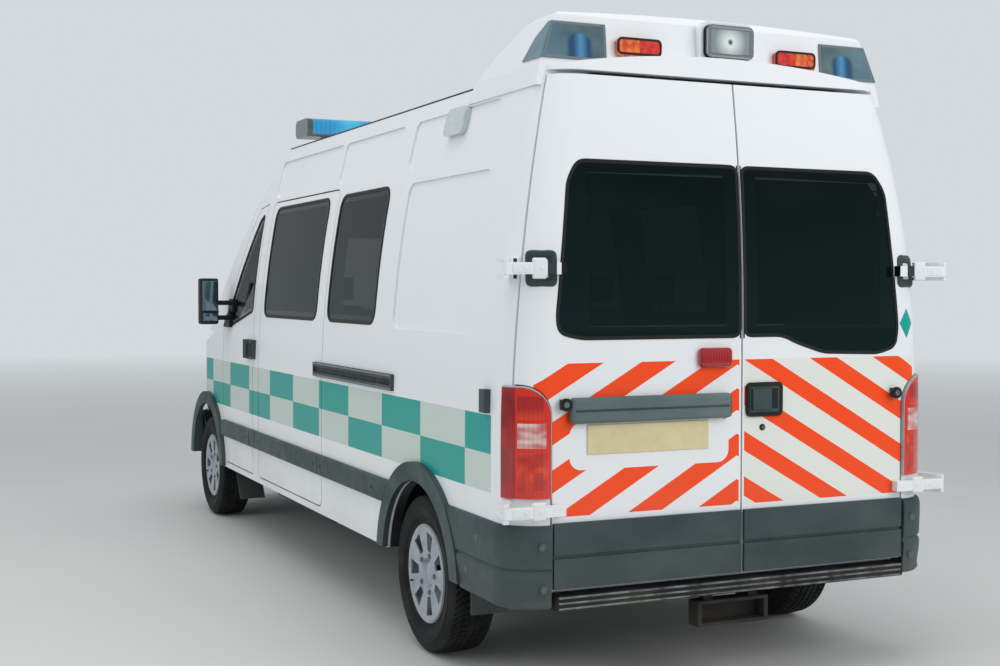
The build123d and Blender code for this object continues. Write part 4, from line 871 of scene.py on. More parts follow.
def revolved_about(name, centre, axis, profile, finish):
    """A turned piece on any axis: each profile point is a radius and a distance along the axis."""
    axis = np.array(axis, float) / np.linalg.norm(axis)
    first = np.cross(axis, (0.0, 0.0, 1.0) if abs(axis[2]) < 0.9 else (1.0, 0.0, 0.0))
    first = first / np.linalg.norm(first)
    second = np.cross(axis, first)
    angle = np.linspace(0, 2 * np.pi, 28, endpoint=False)[:, None, None]
    profile = np.array(profile, float)
    radius = profile[None, :, :1]
    grid = radius * (np.cos(angle) * first + np.sin(angle) * second) + profile[None, :, 1:] * axis
    grid = np.array(centre) + grid
    return net(name, grid, finish)


CUP = [
    (0.0001, -0.004), (0.014, -0.004), (0.0145, 0.0008), (0.0125, 0.0018), (0.0105, 0.0004),
    (0.0085, -0.0022), (0.0060, -0.0022), (0.0055, 0.0004), (0.0030, 0.0008), (0.0001, 0.0008)]
for side, label in SIDES:
    for number, (y, z) in enumerate(((0.872, 0.617), (0.866, 0.458))):
        place = (REAR_X - 0.0215, side * y, z)
        screw = revolved_about(f"{label}_bumper_screw_{number}", place, (-1, 0, 0), CUP, screw_steel)
        fasten(screw, "body")
    for number, (x, z) in enumerate(((-2.62, 0.610), (-2.52, 0.470))):
        place = (x, side * (HALF_W + 0.0215 - 0.002 * number), z)
        screw = revolved_about(f"{label}_bumper_side_screw_{number}", place, (0, side, 0), CUP, screw_steel)
        fasten(screw, "body")


# Rub strip screws: each strip of the side is clipped on and held by sunk plastic screws near
# its ends.
STRIP_SCREW = [(r * 0.75, d * 0.6) for r, d in CUP]
STRIP_SCREW_X = (-1.40, -0.58, -0.45, 0.70, 0.98)
for side, label in SIDES:
    for number, x in enumerate(STRIP_SCREW_X):
        place = (x, side * (HALF_W + 0.0262), 0.652)
        screw = revolved_about(
            f"{label}_strip_screw_{number}", place, (0, side, 0), STRIP_SCREW, black_plastic)
        fasten(screw, "body" if x < 0.9 else f"{label}_cab_door")


def soft_block(name, low, high, radius, finish, rows=10, around=32):
    """A block with round edges: directions over a sphere, pushed apart by the block's half sizes less the
    radius, so the flat faces open out between the round corners."""
    low, high = np.array(low, float), np.array(high, float)
    half = (high - low) / 2
    radius = min(radius, half.min() * 0.999)
    quarter = np.linspace(0.02, np.pi / 2 - 0.02, around // 4)
    turn = np.concatenate([quarter + k * np.pi / 2 for k in range(4)])[:, None]
    rise = np.linspace(0.03, np.pi / 2 - 0.03, rows)
    tilt = np.concatenate([-rise[::-1], rise])[None, :]
    ball = np.stack(
        [
            np.cos(turn) * np.cos(tilt), np.sin(turn) * np.cos(tilt),
            np.broadcast_to(np.sin(tilt), (around, 2 * rows))],
        axis=-1)
    grid = (low + high) / 2 + np.sign(ball) * (half - radius) + radius * ball
    return net(name, grid, finish, sharp=60.0)


# Slider rail: a black channel along the side, with two thin bright lips and a rounded
# rear end cap. The sliding door's roller arm runs in it.
rail_lip = Finish("rail_lip", (0.52, 0.56, 0.57), 0.35, Metallic=0.6)
rail_lip.grain(300.0, 0.0002)
for number, z in enumerate((1.1845, 1.1235)):
    low, high = (-1.625, 0.994, z - 0.0045), (-0.415, 1.0015, z + 0.0045)
    fasten(soft_block(f"slider_rail_lip_{number}", low, high, 0.003, rail_lip), "body")
rail_floor = soft_block(
    "slider_rail_floor", (-1.618, 0.984, 1.138), (-0.422, 0.9915, 1.170), 0.003, black_plastic)
fasten(rail_floor, "body")


# Tail lamps: one moulded lens wrapped round the corner, clear red over a ribbed reflector,
# with a pinkish clear window for the reversing and turn lamps, sealed into the panel.
LAMP_WINDOWS = {
    "clear": ((0.985, 1.078), (0.852, 0.950)),
    "low": ((0.812, 0.968), (0.846, 0.950)),
    "top": ((1.092, 1.180), (0.862, 0.950)),
}
lamp_lens = Finish("lamp_lens", (0.72, 0.02, 0.03), 0.12, Coat_Weight=0.9, Coat_Roughness=0.03)
lamp_y = abs(lamp_lens.y)
rib = lamp_y.ribs(130.0)
red_cloud = lamp_lens.noise(12.0, 1.0).ramp(0.3, 0.75, 0.0, 1.0)
deep_red = lamp_lens.mix(red_cloud, (0.52, 0.012, 0.045), (0.72, 0.03, 0.03))
# The low window's red carries painted orange highlights, spread by a cloud.
highlight_cloud = lamp_lens.noise(13.0, 1.5).ramp(0.35, 0.72, 0.0, 1.0)
red_with_painted_highlights = lamp_lens.mix(highlight_cloud, (0.74, 0.015, 0.015), (0.98, 0.30, 0.08))
pink_cloud = lamp_lens.noise(12.0, 1.0, (1.0, 1.0, 3.0)).ramp(0.3, 0.7, 0.0, 1.0)
clear_pink = lamp_lens.mix(pink_cloud, (0.78, 0.42, 0.40), (0.94, 0.84, 0.80))
behind = (lamp_lens.x < REAR_X + 0.045) & (lamp_y < 0.955)
window = {}
for name, (heights, widths) in LAMP_WINDOWS.items():
    window[name] = behind & lamp_lens.z.between(*heights) & lamp_y.between(*widths)
dark_rows = lamp_lens.z.between(0.915, 0.965).at_least(lamp_lens.z.between(0.828, 0.895))
dark_cell = dark_rows & lamp_y.between(0.862, 0.898)
red_with_painted_highlights = lamp_lens.mix(dark_cell * 0.55, red_with_painted_highlights, (0.66, 0.01, 0.012))
lens_tint = lamp_lens.mix(window["low"], lamp_lens.mix(behind, deep_red, (0.88, 0.12, 0.05)), red_with_painted_highlights)
# The top window's red carries a painted orange highlight low in it, fading out by 1.135 m.
top_painted_highlight = lamp_lens.z.ramp(1.095, 1.135, 0.75, 0.0)
top_red_with_highlight = lamp_lens.mix(top_painted_highlight, (0.70, 0.015, 0.02), (0.95, 0.28, 0.09))
lens_tint = lamp_lens.mix(window["clear"], lamp_lens.mix(window["top"], lens_tint, top_red_with_highlight), clear_pink)
lamp_lens.colour(lamp_lens.mix(rib * 0.18, lens_tint, (0.35, 0.0, 0.0)))
lamp_lens.bump(rib + lamp_lens.noise(45.0, 2.0), 0.0006)
coat("tail_lamps", lamp_lens)


def corner_skin(y, z, out):
    """A point on the body's rear round corner for a sideways distance y measured along the bend: past the
    start of the corner the remaining length turns round the quarter circle."""
    start = half_width(z) - CORNER_R
    past = np.clip((y - start) / CORNER_R, 0.0, np.pi / 2)
    flat_y = np.minimum(y, start)
    x = rear_face(z) + CORNER_R - (CORNER_R + out) * np.cos(past)
    return np.stack([x, flat_y + (CORNER_R + out) * np.sin(past), z], axis=-1)


def on_corner(flat, side, out):
    """A flat (y, z) point of the left or right rear corner, standing out from the bent skin."""
    place = corner_skin(flat[..., 0], flat[..., 1], out)
    place[..., 1] *= side
    return place


GASKET = [
    (0.004, -0.003), (-0.004, -0.003), (-0.0045, 0.002), (-0.001, 0.0135), (0.002, 0.0132), (0.0045, 0.002)]
gasket_rubber = Finish("lamp_gasket", (0.62, 0.64, 0.64), 0.5)
gasket_rubber.clouds(60.0, 3.0, (0.56, 0.58, 0.58), (0.72, 0.74, 0.74))
LAMP_ARCH = (0.944, 1.101)
LAMP_ARCH_R = 0.113
arch = np.linspace(np.pi, np.pi / 2, 14)
lamp_edge = np.stack(
    [
        np.concatenate(
            [np.full(12, 0.831), LAMP_ARCH[0] + LAMP_ARCH_R * np.cos(arch), np.linspace(0.95, 1.02, 5)]),
        np.concatenate(
            [np.linspace(0.797, 1.085, 12), LAMP_ARCH[1] + LAMP_ARCH_R * np.sin(arch), np.full(5, 1.2140)])
    ], axis=1)
for side, label in SIDES:
    gasket = lipped(label + "_lamp_gasket", lamp_edge, on_corner, side, GASKET, gasket_rubber, closed=False)
    fasten(gasket, "body")


# Rear door fittings: the stop lamp, a blank number plate, the pull bar's cover, the buffers'
# caps, and the lock with its finger pull, all screwed or clipped to the doors.
red_lens = Finish("red_lens", (0.66, 0.02, 0.04), 0.12, Coat_Weight=0.9, Coat_Roughness=0.03)
red_rib = red_lens.y.ribs(160.0)
red_lens.colour(red_lens.mix(red_rib, (0.74, 0.03, 0.05), (0.50, 0.01, 0.03)))
red_lens.bump(red_rib, 0.0005)
low, high = (-2.9455, 0.036, 1.272), (-2.9080, 0.188, 1.350)
stop_lamp = soft_block("stop_lamp", low, high, 0.030, red_lens, rows=12, around=48)
fasten(stop_lamp, "left_rear_door")

plate_face = Finish("plate_face", (0.865, 0.815, 0.645), 0.35)
plate_cloud = plate_face.noise(18.0, 5.0).ramp(0.4, 0.7, 0.0, 0.6)
plate_face.colour(plate_face.mix(plate_cloud, (0.87, 0.82, 0.65), (0.82, 0.765, 0.58)))
plate_face.grain(900.0, 0.0001)
low, high = (-2.9195, 0.136, 0.952), (-2.9135, 0.676, 1.065)
plate = soft_block("number_plate", low, high, 0.0029, plate_face, rows=5, around=24)
fasten(plate, "left_rear_door")

bar_plastic = moulded("bar_plastic", (0.33, 0.40, 0.41), (0.46, 0.51, 0.51))
low, high = (-2.9505, 0.044, 1.0725), (-2.9150, 0.757, 1.1715)
pull_bar = soft_block("pull_bar_cover", low, high, 0.016, bar_plastic, rows=12, around=48)
fasten(pull_bar, "left_rear_door")
bar_lip = soft_block("pull_bar_lip", (-2.9545, 0.060, 1.1180), (-2.9440, 0.742, 1.1260), 0.004, trim_plastic)
fasten(bar_lip, "left_rear_door")

BUFFER = [(0.0001, -0.010), (0.0240, -0.010), (0.0245, 0.0005), (0.0220, 0.0032), (0.0160, 0.0044),
          (0.0135, 0.0027), (0.0001, 0.0027)]
BUFFER_STUD = [(0.0001, 0.0010), (0.0115, 0.0010), (0.0115, 0.0034), (0.0100, 0.0043), (0.0001, 0.0045)]
for side, label in SIDES:
    place = (-2.9445, side * 0.778, 1.147)
    ring = revolved_about(label + "_buffer_ring", place, (-1, 0, 0), BUFFER, black_plastic)
    stud = revolved_about(label + "_buffer_stud", place, (-1, 0, 0), BUFFER_STUD, screw_steel)
    fasten(ring, label + "_rear_door")
    fasten(stud, label + "_rear_door")

PULL_CORNERS = [(-0.209, 1.075), (-0.044, 1.075), (-0.044, 1.202), (-0.209, 1.202)]
PULL_FRAME = [
    (-0.012, 0.000), (0.005, 0.000), (0.0055, 0.008), (0.002, 0.0125), (-0.006, 0.0125), (-0.012, 0.010)]
LOCK = [
    (0.0001, -0.003), (0.0125, -0.003), (0.0130, 0.002), (0.0110, 0.0045), (0.0070, 0.0050),
    (0.0001, 0.0050)]
LOCK_CORE = [(0.0001, 0.0), (0.0060, 0.0), (0.0060, 0.0030), (0.0048, 0.0038), (0.0001, 0.0038)]
pull_path = rounded_path(PULL_CORNERS, 0.020)
pull_frame = lipped("finger_pull_frame", pull_path, on_rear, 1, PULL_FRAME, black_plastic)
pull_well = soft_block(
    "finger_pull_well", (-2.9225, -0.199, 1.087), (-2.9165, -0.054, 1.190), 0.0028, black_plastic)
low, high = (-2.9300, -0.158, 1.096), (-2.9185, -0.066, 1.182)
pull_paddle = soft_block("finger_pull_paddle", low, high, 0.005, trim_plastic, rows=6)
lock = revolved_about("rear_door_lock", (-2.9155, -0.120, 1.026), (-1, 0, 0), LOCK, black_plastic)
lock_core = revolved_about(
    "rear_door_lock_core", (-2.9180, -0.120, 1.026), (-1, 0, 0), LOCK_CORE, screw_steel)
for piece, slot in ((pull_frame, "black_plastic"), (pull_well, "black_plastic"), (pull_paddle, "trim_grey"),
                    (lock, "black_plastic"), (lock_core, "steel")):
    fasten(piece, "right_rear_door")

# Hinge surrounds and straps: a dark moulded plate on each door, and a white painted steel
# strap over the hinge arm, with a knuckle and two bolts.
strap_white = Finish("strap_white", (0.90, 0.91, 0.92), 0.3, Coat_Weight=0.3)
chipped = strap_white.noise(18.0, 3.0).ramp(0.62, 0.8, 0.0, 0.35)
strap_white.colour(strap_white.mix(chipped, (0.90, 0.91, 0.92), (0.70, 0.70, 0.69)))
SURROUND = [(0.0, -0.002), (-0.004, 0.006), (-0.014, 0.0115), (-0.024, 0.0105), (-0.032, 0.0040),
            (-0.036, 0.0015), (-0.036, -0.002)]
HINGE_BOLT = [(0.0001, -0.002), (0.0085, -0.002), (0.0085, 0.0022), (0.0060, 0.0042), (0.0001, 0.0046)]
SURROUND_CORNERS = [(0.800, 1.587), (0.925, 1.587), (0.925, 1.726), (0.800, 1.726)]
HINGES = {"upper": (1.656, 1.617, 1.695), "lower": (0.752, 0.718, 0.788)}
KNUCKLE_HALF = 0.0215
for side, label in SIDES:
    door = label + "_rear_door"
    path = rounded_path(SURROUND_CORNERS, 0.028)
    surround = lipped(label + "_hinge_surround", path, on_corner, side, SURROUND, trim_plastic)
    fasten(surround, door)
    for name, (height, bottom, top) in HINGES.items():
        parts = [("strap", 0.862, 0.920, bottom, top),
                 ("knuckle", 0.923, 1.008, height - KNUCKLE_HALF, height + KNUCKLE_HALF)]
        for part, near, far, foot, head in parts:
            near_y, far_y = sorted((side * near, side * far))
            low, high = (-2.9512, near_y, foot), (-2.9340, far_y, head)
            strap = soft_block(f"{label}_{name}_hinge_{part}", low, high, 0.008, strap_white, rows=8)
            fasten(strap, door)
        for number, y in enumerate((0.885, 0.950)):
            place = (-2.9490, side * y, height)
            bolt = revolved_about(
                f"{label}_{name}_hinge_bolt_{number}", place, (-1, 0, 0), HINGE_BOLT, strap_white)
            fasten(bolt, door)

# Rear step nosing: three grip ribs of bright, worn aluminium along the step's rear edge
# below the doors.
nosing = Finish("step_nosing", (0.42, 0.44, 0.43), 0.4, Metallic=0.6)
worn_dark = nosing.noise(12.0, 6.0).ramp(0.4, 0.65, 0.0, 1.0)
nosing.colour(nosing.mix(worn_dark, (0.55, 0.57, 0.55), (0.24, 0.25, 0.24)))
nosing.grain(200.0, 0.0008, 3.0)
for number, (z, depth) in enumerate(((0.4215, 0.0), (0.4005, 0.001), (0.3800, 0.002))):
    low, high = (-2.9475 + depth, -0.808, z - 0.0045), (-2.9380, 0.808, z + 0.0045)
    fasten(soft_block(f"step_nosing_{number}", low, high, 0.0040, nosing), "body")


# Roof pod lamps: a blue rotating beacon behind a smoky lens at each corner, a red and
# amber lamp beside it, and a square work lamp with a bright bezel in the middle.
BEACON_MIDDLE = (0.628, 2.533)
BEACON_HALF = (0.056, 0.040)
BEACON_FRONT_X = -2.735
BULB_PLACE = (-0.029, 2.574)
beacon_lens = Finish("beacon_lens", (0.10, 0.28, 0.38), 0.06, Coat_Weight=0.8, Coat_Roughness=0.03)
away_y = abs(beacon_lens.y) - BEACON_MIDDLE[0]
wide = away_y / BEACON_HALF[0]
tall = (beacon_lens.z - BEACON_MIDDLE[1]).at_least(0.0) / BEACON_HALF[1]
dome = wide.span(tall).ramp(0.78, 1.08, 1.0, 0.0) & (beacon_lens.x < BEACON_FRONT_X)
# A painted highlight: a lighter upright band just inboard of the middle of each blue dome.
beacon_painted_highlight = abs(wide + 0.1).ramp(0.05, 0.55, 0.75, 0.0) & dome
smoke_cloud = beacon_lens.noise(5.0, 2.0, (1.0, 1.0, 2.0)).ramp(0.3, 0.7, 0.0, 1.0)
smoke = beacon_lens.mix(smoke_cloud, (0.22, 0.33, 0.36), (0.42, 0.52, 0.53))
smoke = beacon_lens.mix(away_y.ramp(0.02, 0.13, 0.0, 0.55), smoke, (0.26, 0.46, 0.55))
drum_blue = beacon_lens.mix(dome, smoke, (0.02, 0.26, 0.42))
beacon_lens.colour(beacon_lens.mix(beacon_painted_highlight, drum_blue, (0.30, 0.60, 0.76)))
beacon_lens.bump(beacon_lens.z.ribs(220.0), 0.0003)
coat("corner_beacons", beacon_lens)

marker_lens = Finish("marker_lens", (0.80, 0.20, 0.06), 0.1, Coat_Weight=0.9, Coat_Roughness=0.03)
marker_away = abs(marker_lens.y)
amber_cloud = marker_lens.noise(40.0, 3.0).ramp(0.4, 0.65, 0.0, 1.0)
amber = marker_lens.mix(amber_cloud, (0.82, 0.24, 0.05), (0.95, 0.50, 0.16))
ruby_cloud = marker_lens.noise(35.0, 3.0).ramp(0.4, 0.65, 0.0, 1.0)
ruby = marker_lens.mix(ruby_cloud, (0.75, 0.07, 0.03), (0.93, 0.20, 0.08))
marker_tint = marker_lens.mix(marker_away > 0.372, ruby, amber)
pearl = marker_lens.mix(marker_lens.noise(25.0, 4.0), (0.72, 0.76, 0.76), (0.84, 0.87, 0.87))
marker_tint = marker_lens.mix(marker_away > 0.6, marker_tint, pearl)
bulb = (marker_lens.y - BULB_PLACE[0]).span(marker_lens.z - BULB_PLACE[1])
# The work lamp's reflector is painted shading: a bright painted reflection round the bulb, greying outwards,
# and a dark painted spot at the bulb itself.
work_glass_painted_shading = marker_lens.mix(bulb.ramp(0.015, 0.075, 0.0, 1.0), (0.9, 0.92, 0.92), (0.52, 0.57, 0.57))
work_glass_painted_shading = marker_lens.mix(bulb.ramp(0.006, 0.015, 1.0, 0.0), work_glass_painted_shading, (0.3, 0.34, 0.34))
marker_tint = marker_lens.mix(marker_away < 0.2, marker_tint, work_glass_painted_shading)
marker_lens.colour(marker_tint)
marker_lens.bump(marker_lens.y.ribs(190.0), 0.0006)
coat("marker_lamps", marker_lens)

bezel_black = Finish("bezel_black", (0.05, 0.05, 0.055), 0.3)
bezel_black.grain(400.0, 0.0002)
bezel_chrome = Finish("bezel_chrome", (0.66, 0.68, 0.69), 0.16, Metallic=1.0)
frame_grey = Finish("beacon_frame", (0.50, 0.54, 0.55), 0.3, Metallic=0.4)
frame_grey.rough(frame_grey.noise(40.0, 3.0).ramp(0.3, 0.7, 0.25, 0.4))
bezel_chrome.rough(bezel_chrome.noise(30.0, 4.0).ramp(0.3, 0.7, 0.12, 0.3))


def flat_rear(x_of):
    """Places flat (y, z) points on an upright face whose x depends on height, standing out behind it."""
    def place(flat, side, out):
        return np.stack([x_of(flat[..., 1]) - out, side * flat[..., 0], flat[..., 1]], axis=-1)
    return place


def pod_rear(z):
    """The pod's rear face: x at a height, by straight runs between three heights."""
    return np.interp(z, (2.36, 2.48, 2.64, 2.676), (-2.762, -2.752, -2.736, -2.712))


BEZEL = [(-0.004, -0.004), (0.004, -0.004), (0.0045, 0.003), (0.0, 0.0055), (-0.0045, 0.003)]
BEACON_BEZEL = [(-0.006, -0.004), (0.004, -0.004), (0.0045, 0.004), (0.0, 0.0075), (-0.0065, 0.005)]
WORK_BEZEL = [(-0.014, -0.006), (0.003, -0.006), (0.0045, 0.0), (0.0030, 0.0055), (-0.004, 0.0080),
              (-0.010, 0.0055), (-0.014, 0.0)]
WORK_GASKET = [(-0.006, -0.004), (0.006, -0.004), (0.0065, 0.004), (-0.004, 0.006)]
MARKER_CORNERS = [(0.277, 2.502), (0.468, 2.502), (0.468, 2.561), (0.277, 2.561)]
BEACON_CORNERS = [(0.514, 2.470), (0.786, 2.470), (0.744, 2.608), (0.514, 2.608)]
WORK_CORNERS = [(-0.135, 2.512), (0.077, 2.512), (0.077, 2.636), (-0.135, 2.636)]
MARKER_X = -2.7725
for side, label in SIDES:
    place = flat_rear(lambda z: np.full_like(z, MARKER_X))
    rim = lipped(
        label + "_marker_bezel", rounded_path(MARKER_CORNERS, 0.018), place, side, BEZEL, bezel_black)
    fasten(rim, "body")
    path = rounded_path(BEACON_CORNERS, 0.014)
    rim = lipped(label + "_beacon_bezel", path, flat_rear(pod_rear), side, BEACON_BEZEL, frame_grey)
    fasten(rim, "body")
for name, corner_r, x, profile, finish, slot in (
        ("work_lamp_bezel", 0.024, -2.806, WORK_BEZEL, bezel_chrome, "steel"),
        ("work_lamp_gasket", 0.026, -2.784, WORK_GASKET, bezel_black, "black_plastic")):
    place = flat_rear(lambda z: np.full_like(z, x))
    fasten(lipped(name, rounded_path(WORK_CORNERS, corner_r), place, 1, profile, finish), "body")


# Light bar on the cab roof: a moulded blue lens over a grey base, with grey end caps and
# two rotating lamps inside that show as painted brighter bands.
BAR_LAMP_Y = 0.42
BAR_CAP_Y = 0.665
BAR_MIDDLE_Y = 0.10
BAR_BASE_Z = 2.524
bar_lens = Finish("light_bar_lens", (0.06, 0.50, 0.72), 0.1, Coat_Weight=0.8, Coat_Roughness=0.04)
bar_away = abs(bar_lens.y)
fluted = bar_lens.y.ribs(70.0)
bar_blue = bar_lens.mix(fluted * 0.35, (0.08, 0.58, 0.78), (0.02, 0.36, 0.60))
# Painted glow: a brighter blue band over each of the two lamps inside, fading out over 0.12 m.
bar_painted_glow = abs(bar_away - BAR_LAMP_Y).ramp(0.03, 0.12, 0.55, 0.0)
bar_blue = bar_lens.mix(bar_painted_glow, bar_blue, (0.30, 0.78, 0.90))
bar_blue = bar_lens.mix(bar_away > BAR_CAP_Y, bar_blue, (0.24, 0.30, 0.32))
bar_blue = bar_lens.mix(bar_away < BAR_MIDDLE_Y, bar_blue, (0.72, 0.76, 0.77))
bar_lens.colour(bar_lens.mix(bar_lens.z < BAR_BASE_Z, bar_blue, (0.30, 0.34, 0.36)))
bar_lens.bump(fluted, 0.0006)
coat("light_bar", bar_lens)

# Door mirrors and handles: black moulded shells. Each mirror has a main glass and a
# wide-angle glass below it, both facing back; each handle has a flap over its hollow.
dark_fittings = moulded("dark_fittings", (0.07, 0.085, 0.09), (0.12, 0.145, 0.15))
for label in ("left", "right"):
    coat(label + "_door_fittings", dark_fittings)
strip_grey = dark_fittings.z < 0.8
grey_part = dark_fittings.mix(dark_fittings.noise(2.2, 6.0, (1.0, 1.0, 2.0)), TRIM_TINT, TRIM_FADED)
dark_part = dark_fittings.mix(dark_fittings.noise(6.0, 5.0), (0.05, 0.065, 0.07), (0.11, 0.13, 0.135))
dark_fittings.colour(dark_fittings.mix(strip_grey, dark_part, grey_part))
mirror_glass = Finish("mirror_glass", (0.42, 0.52, 0.56), 0.08, Metallic=0.9)
mirror_glass.rough(mirror_glass.noise(8.0, 4.0).ramp(0.3, 0.8, 0.05, 0.16))
mirror_glass.clouds(3.0, 2.0, (0.36, 0.46, 0.50), (0.52, 0.62, 0.66))
for side, label in SIDES:
    door = label + "_cab_door"
    inner, outer = sorted((side * 1.066, side * 1.170))
    low, high = (1.4735, inner, 1.432), (1.4815, outer, 1.628)
    glass = soft_block(label + "_mirror_glass", low, high, 0.0039, mirror_glass, rows=5, around=24)
    fasten(glass, door)
    low, high = (1.4735, inner + 0.004, 1.366), (1.4815, outer - 0.004, 1.420)
    glass = soft_block(label + "_wide_mirror", low, high, 0.0039, mirror_glass, rows=5, around=24)
    fasten(glass, door)
    low, high = (1.4700, inner - 0.004, 1.422), (1.4830, outer + 0.004, 1.430)
    fasten(soft_block(label + "_mirror_rib", low, high, 0.0035, dark_fittings), door)
    low, high = (0.946, side * 1.010 - 0.006, 1.166), (1.040, side * 1.010 + 0.006, 1.240)
    fasten(soft_block(label + "_handle_flap", low, high, 0.0055, dark_fittings), door)
slider_flap = soft_block(
    "slider_handle_flap", (0.856, 1.006, 1.160), (0.900, 1.0155, 1.246), 0.0045, dark_fittings)
fasten(slider_flap, "body")


# Roof gutter: the folded seam where the roof panel is welded to the side, filled with a
# black sealer that shows as a dark line.
SEAM = [(-0.0035, -0.004), (0.0035, -0.004), (0.0035, 0.0012), (0.0, 0.0024), (-0.0035, 0.0012)]
seam_path = straight_path((-2.10, 2.4265), (0.70, 2.4265), 90)
for side, label in SIDES:
    seam = lipped(label + "_roof_seam", seam_path, on_side, side, SEAM, seal_rubber, closed=False)
    fasten(seam, "body")


# Seats: foam cushions and backs in dark woven covers with piped edges, on moulded grey
# bases bolted to the floor, with head restraints on two steel posts.
SEAT_PLACES = [(0.925, -0.430), (0.925, 0.430), (-0.700, -0.560), (-1.700, -0.350), (-0.700, 0.560)]
CUSHION_HALF = (0.050, 0.228, 0.232)
BACK_HALF = (0.046, 0.222, 0.285)
REST_HALF = (0.033, 0.116, 0.076)
cloth = Finish("seat_cloth", (0.12, 0.14, 0.18), 0.85, Sheen_Weight=0.4)
warp = cloth.y.ribs(900.0)
weft = (cloth.x + cloth.z).ribs(900.0)
cloth.colour(cloth.mix(warp & weft, (0.09, 0.11, 0.15), (0.22, 0.25, 0.3)))
cloth.bump(warp * weft + cloth.noise(25.0, 3.0), 0.0008)
piping_cloth = Finish("seat_piping", (0.07, 0.08, 0.10), 0.6)
piping_cloth.grain(700.0, 0.0003)
base_plastic = moulded("seat_base_plastic", (0.16, 0.17, 0.18), (0.22, 0.23, 0.24))


def crowned(name, half, crown, pinch, place, finish, steps=22):
    """A stuffed pad: six faces of a cube pulled to a sixth-power ball, so edges are round; the middle of the
    two broad faces rises by the crown, and the four sides draw in between the corners by the pinch."""
    u, v = np.meshgrid(np.linspace(-1, 1, steps), np.linspace(-1, 1, steps), indexing="ij")
    one = np.ones_like(u)
    faces = np.stack([
        np.stack([one, u, v], -1), np.stack([-one, v, u], -1), np.stack([v, one, u], -1),
        np.stack([u, -one, v], -1), np.stack([u, v, one], -1), np.stack([v, u, -one], -1)])
    shape = faces / (np.abs(faces) ** 6).sum(-1, keepdims=True) ** (1 / 6)
    a, b, c = shape[..., 0], shape[..., 1], shape[..., 2]
    bulge = crown * np.clip(1 - b ** 2, 0, 1) * np.clip(1 - c ** 2, 0, 1) * np.sign(a) * (np.abs(a) > 0.5)
    channel = -0.004 * np.exp(-((np.abs(b) - 0.58) / 0.035) ** 2) * np.sign(a) * (np.abs(a) > 0.8)
    b_in = b * (1 - pinch * (1 - c ** 2))
    c_in = c * (1 - pinch * (1 - b ** 2))
    local = np.stack([a * half[0] + bulge + channel, b_in * half[1], c_in * half[2]], -1)
    corner = np.arange(6)[:, None, None] * steps * steps
    i, j = np.meshgrid(np.arange(steps - 1), np.arange(steps - 1), indexing="ij")
    start = i * steps + j
    quads = np.stack([start, start + steps, start + steps + 1, start + 1], -1)[None] + corner[..., None]
    piece = surface(name, place(local), quads.reshape(-1, 4).tolist(), finish)
    outward(piece)
    return piece


def tube(name, path, radius, finish, closed=False, around=12):
    """A round bar along a path: each ring lies across the path's direction, turned to keep level."""
    path = np.array(path, float)
    step = np.roll(path, -1, 0) - np.roll(path, 1, 0)
    if not closed:
        step[0], step[-1] = path[1] - path[0], path[-1] - path[-2]
    step = step / np.linalg.norm(step, axis=1)[:, None]
    guide = np.array([0.0, 0.0, 1.0]) if np.abs(step[:, 2]).max() < 0.9 else np.array([0.3, 0.9, 0.1])
    first = np.cross(step, guide)
    first = first / np.linalg.norm(first, axis=1)[:, None]
    second = np.cross(step, first)
    angle = np.linspace(0, 2 * np.pi, around, endpoint=False)[:, None, None]
    grid = path[None] + radius * (np.cos(angle) * first[None] + np.sin(angle) * second[None])
    if closed:
        grid = np.concatenate([grid, grid[:, :1]], axis=1)
    return net(name, grid, finish, caps=not closed, sharp=60.0)


def piped(name, half, place, reach):
    """A piping line round a pad's broad face: the same sixth-power outline, just inside the edge."""
    turn = np.linspace(0, 2 * np.pi, 72, endpoint=False)
    flat = np.stack([np.cos(turn), np.sin(turn)], -1)
    flat = flat / (np.abs(flat) ** 6).sum(-1, keepdims=True) ** (1 / 6)
    local = np.stack([np.full(72, reach), flat[:, 0] * half[1] * 0.955, flat[:, 1] * half[2] * 0.955], -1)
    return tube(name, place(local), 0.0035, piping_cloth, closed=True, around=8)


for number, (x, y) in enumerate(SEAT_PLACES):
    seat = f"seat_{number}_"

    def on_cushion(p):
        """Local (thickness, width, length) laid flat: up is thickness, and length rises a little forward."""
        return np.stack([x + 0.262 + p[..., 2], y + p[..., 1], 0.866 + p[..., 0] + 0.05 * p[..., 2]], -1)

    def on_back(p):
        """Local (thickness, width, height) leaned back by 168 mm for each metre of height."""
        thick = p[..., 0] * (1 - 0.25 * p[..., 2])
        return np.stack([x + 0.100 + thick - 0.168 * p[..., 2], y + p[..., 1], 1.195 + p[..., 2]], -1)

    def on_rest(p):
        """Local (thickness, width, height) for the head restraint."""
        return np.stack([x + 0.036 + p[..., 0] - 0.12 * p[..., 2], y + p[..., 1], 1.580 + p[..., 2]], -1)

    cushion = crowned(seat + "cushion", CUSHION_HALF, 0.016, 0.025, on_cushion, cloth)
    back = crowned(seat + "back", BACK_HALF, 0.014, 0.03, on_back, cloth)
    rest = crowned(seat + "head_rest", REST_HALF, 0.008, 0.03, on_rest, cloth, steps=14)
    for pad in (cushion, back, rest):
        fasten(pad, "body")
        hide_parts("seats")
    fasten(piped(seat + "cushion_piping", CUSHION_HALF, on_cushion, 0.034), "body")
    fasten(piped(seat + "back_piping", BACK_HALF, on_back, 0.031), "body")
    low, high = (x + 0.062, y - 0.188, 0.5605), (x + 0.398, y + 0.188, 0.815)
    base = soft_block(seat + "base", low, high, 0.022, base_plastic, rows=6)
    fasten(base, "body")
    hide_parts("seats")
    for k, across in enumerate((-0.05, 0.05)):
        path = np.linspace((x + 0.052, y + across, 1.44), (x + 0.038, y + across, 1.535), 4)
        fasten(tube(f"{seat}rest_post_{k}", path, 0.006, screw_steel), "body")

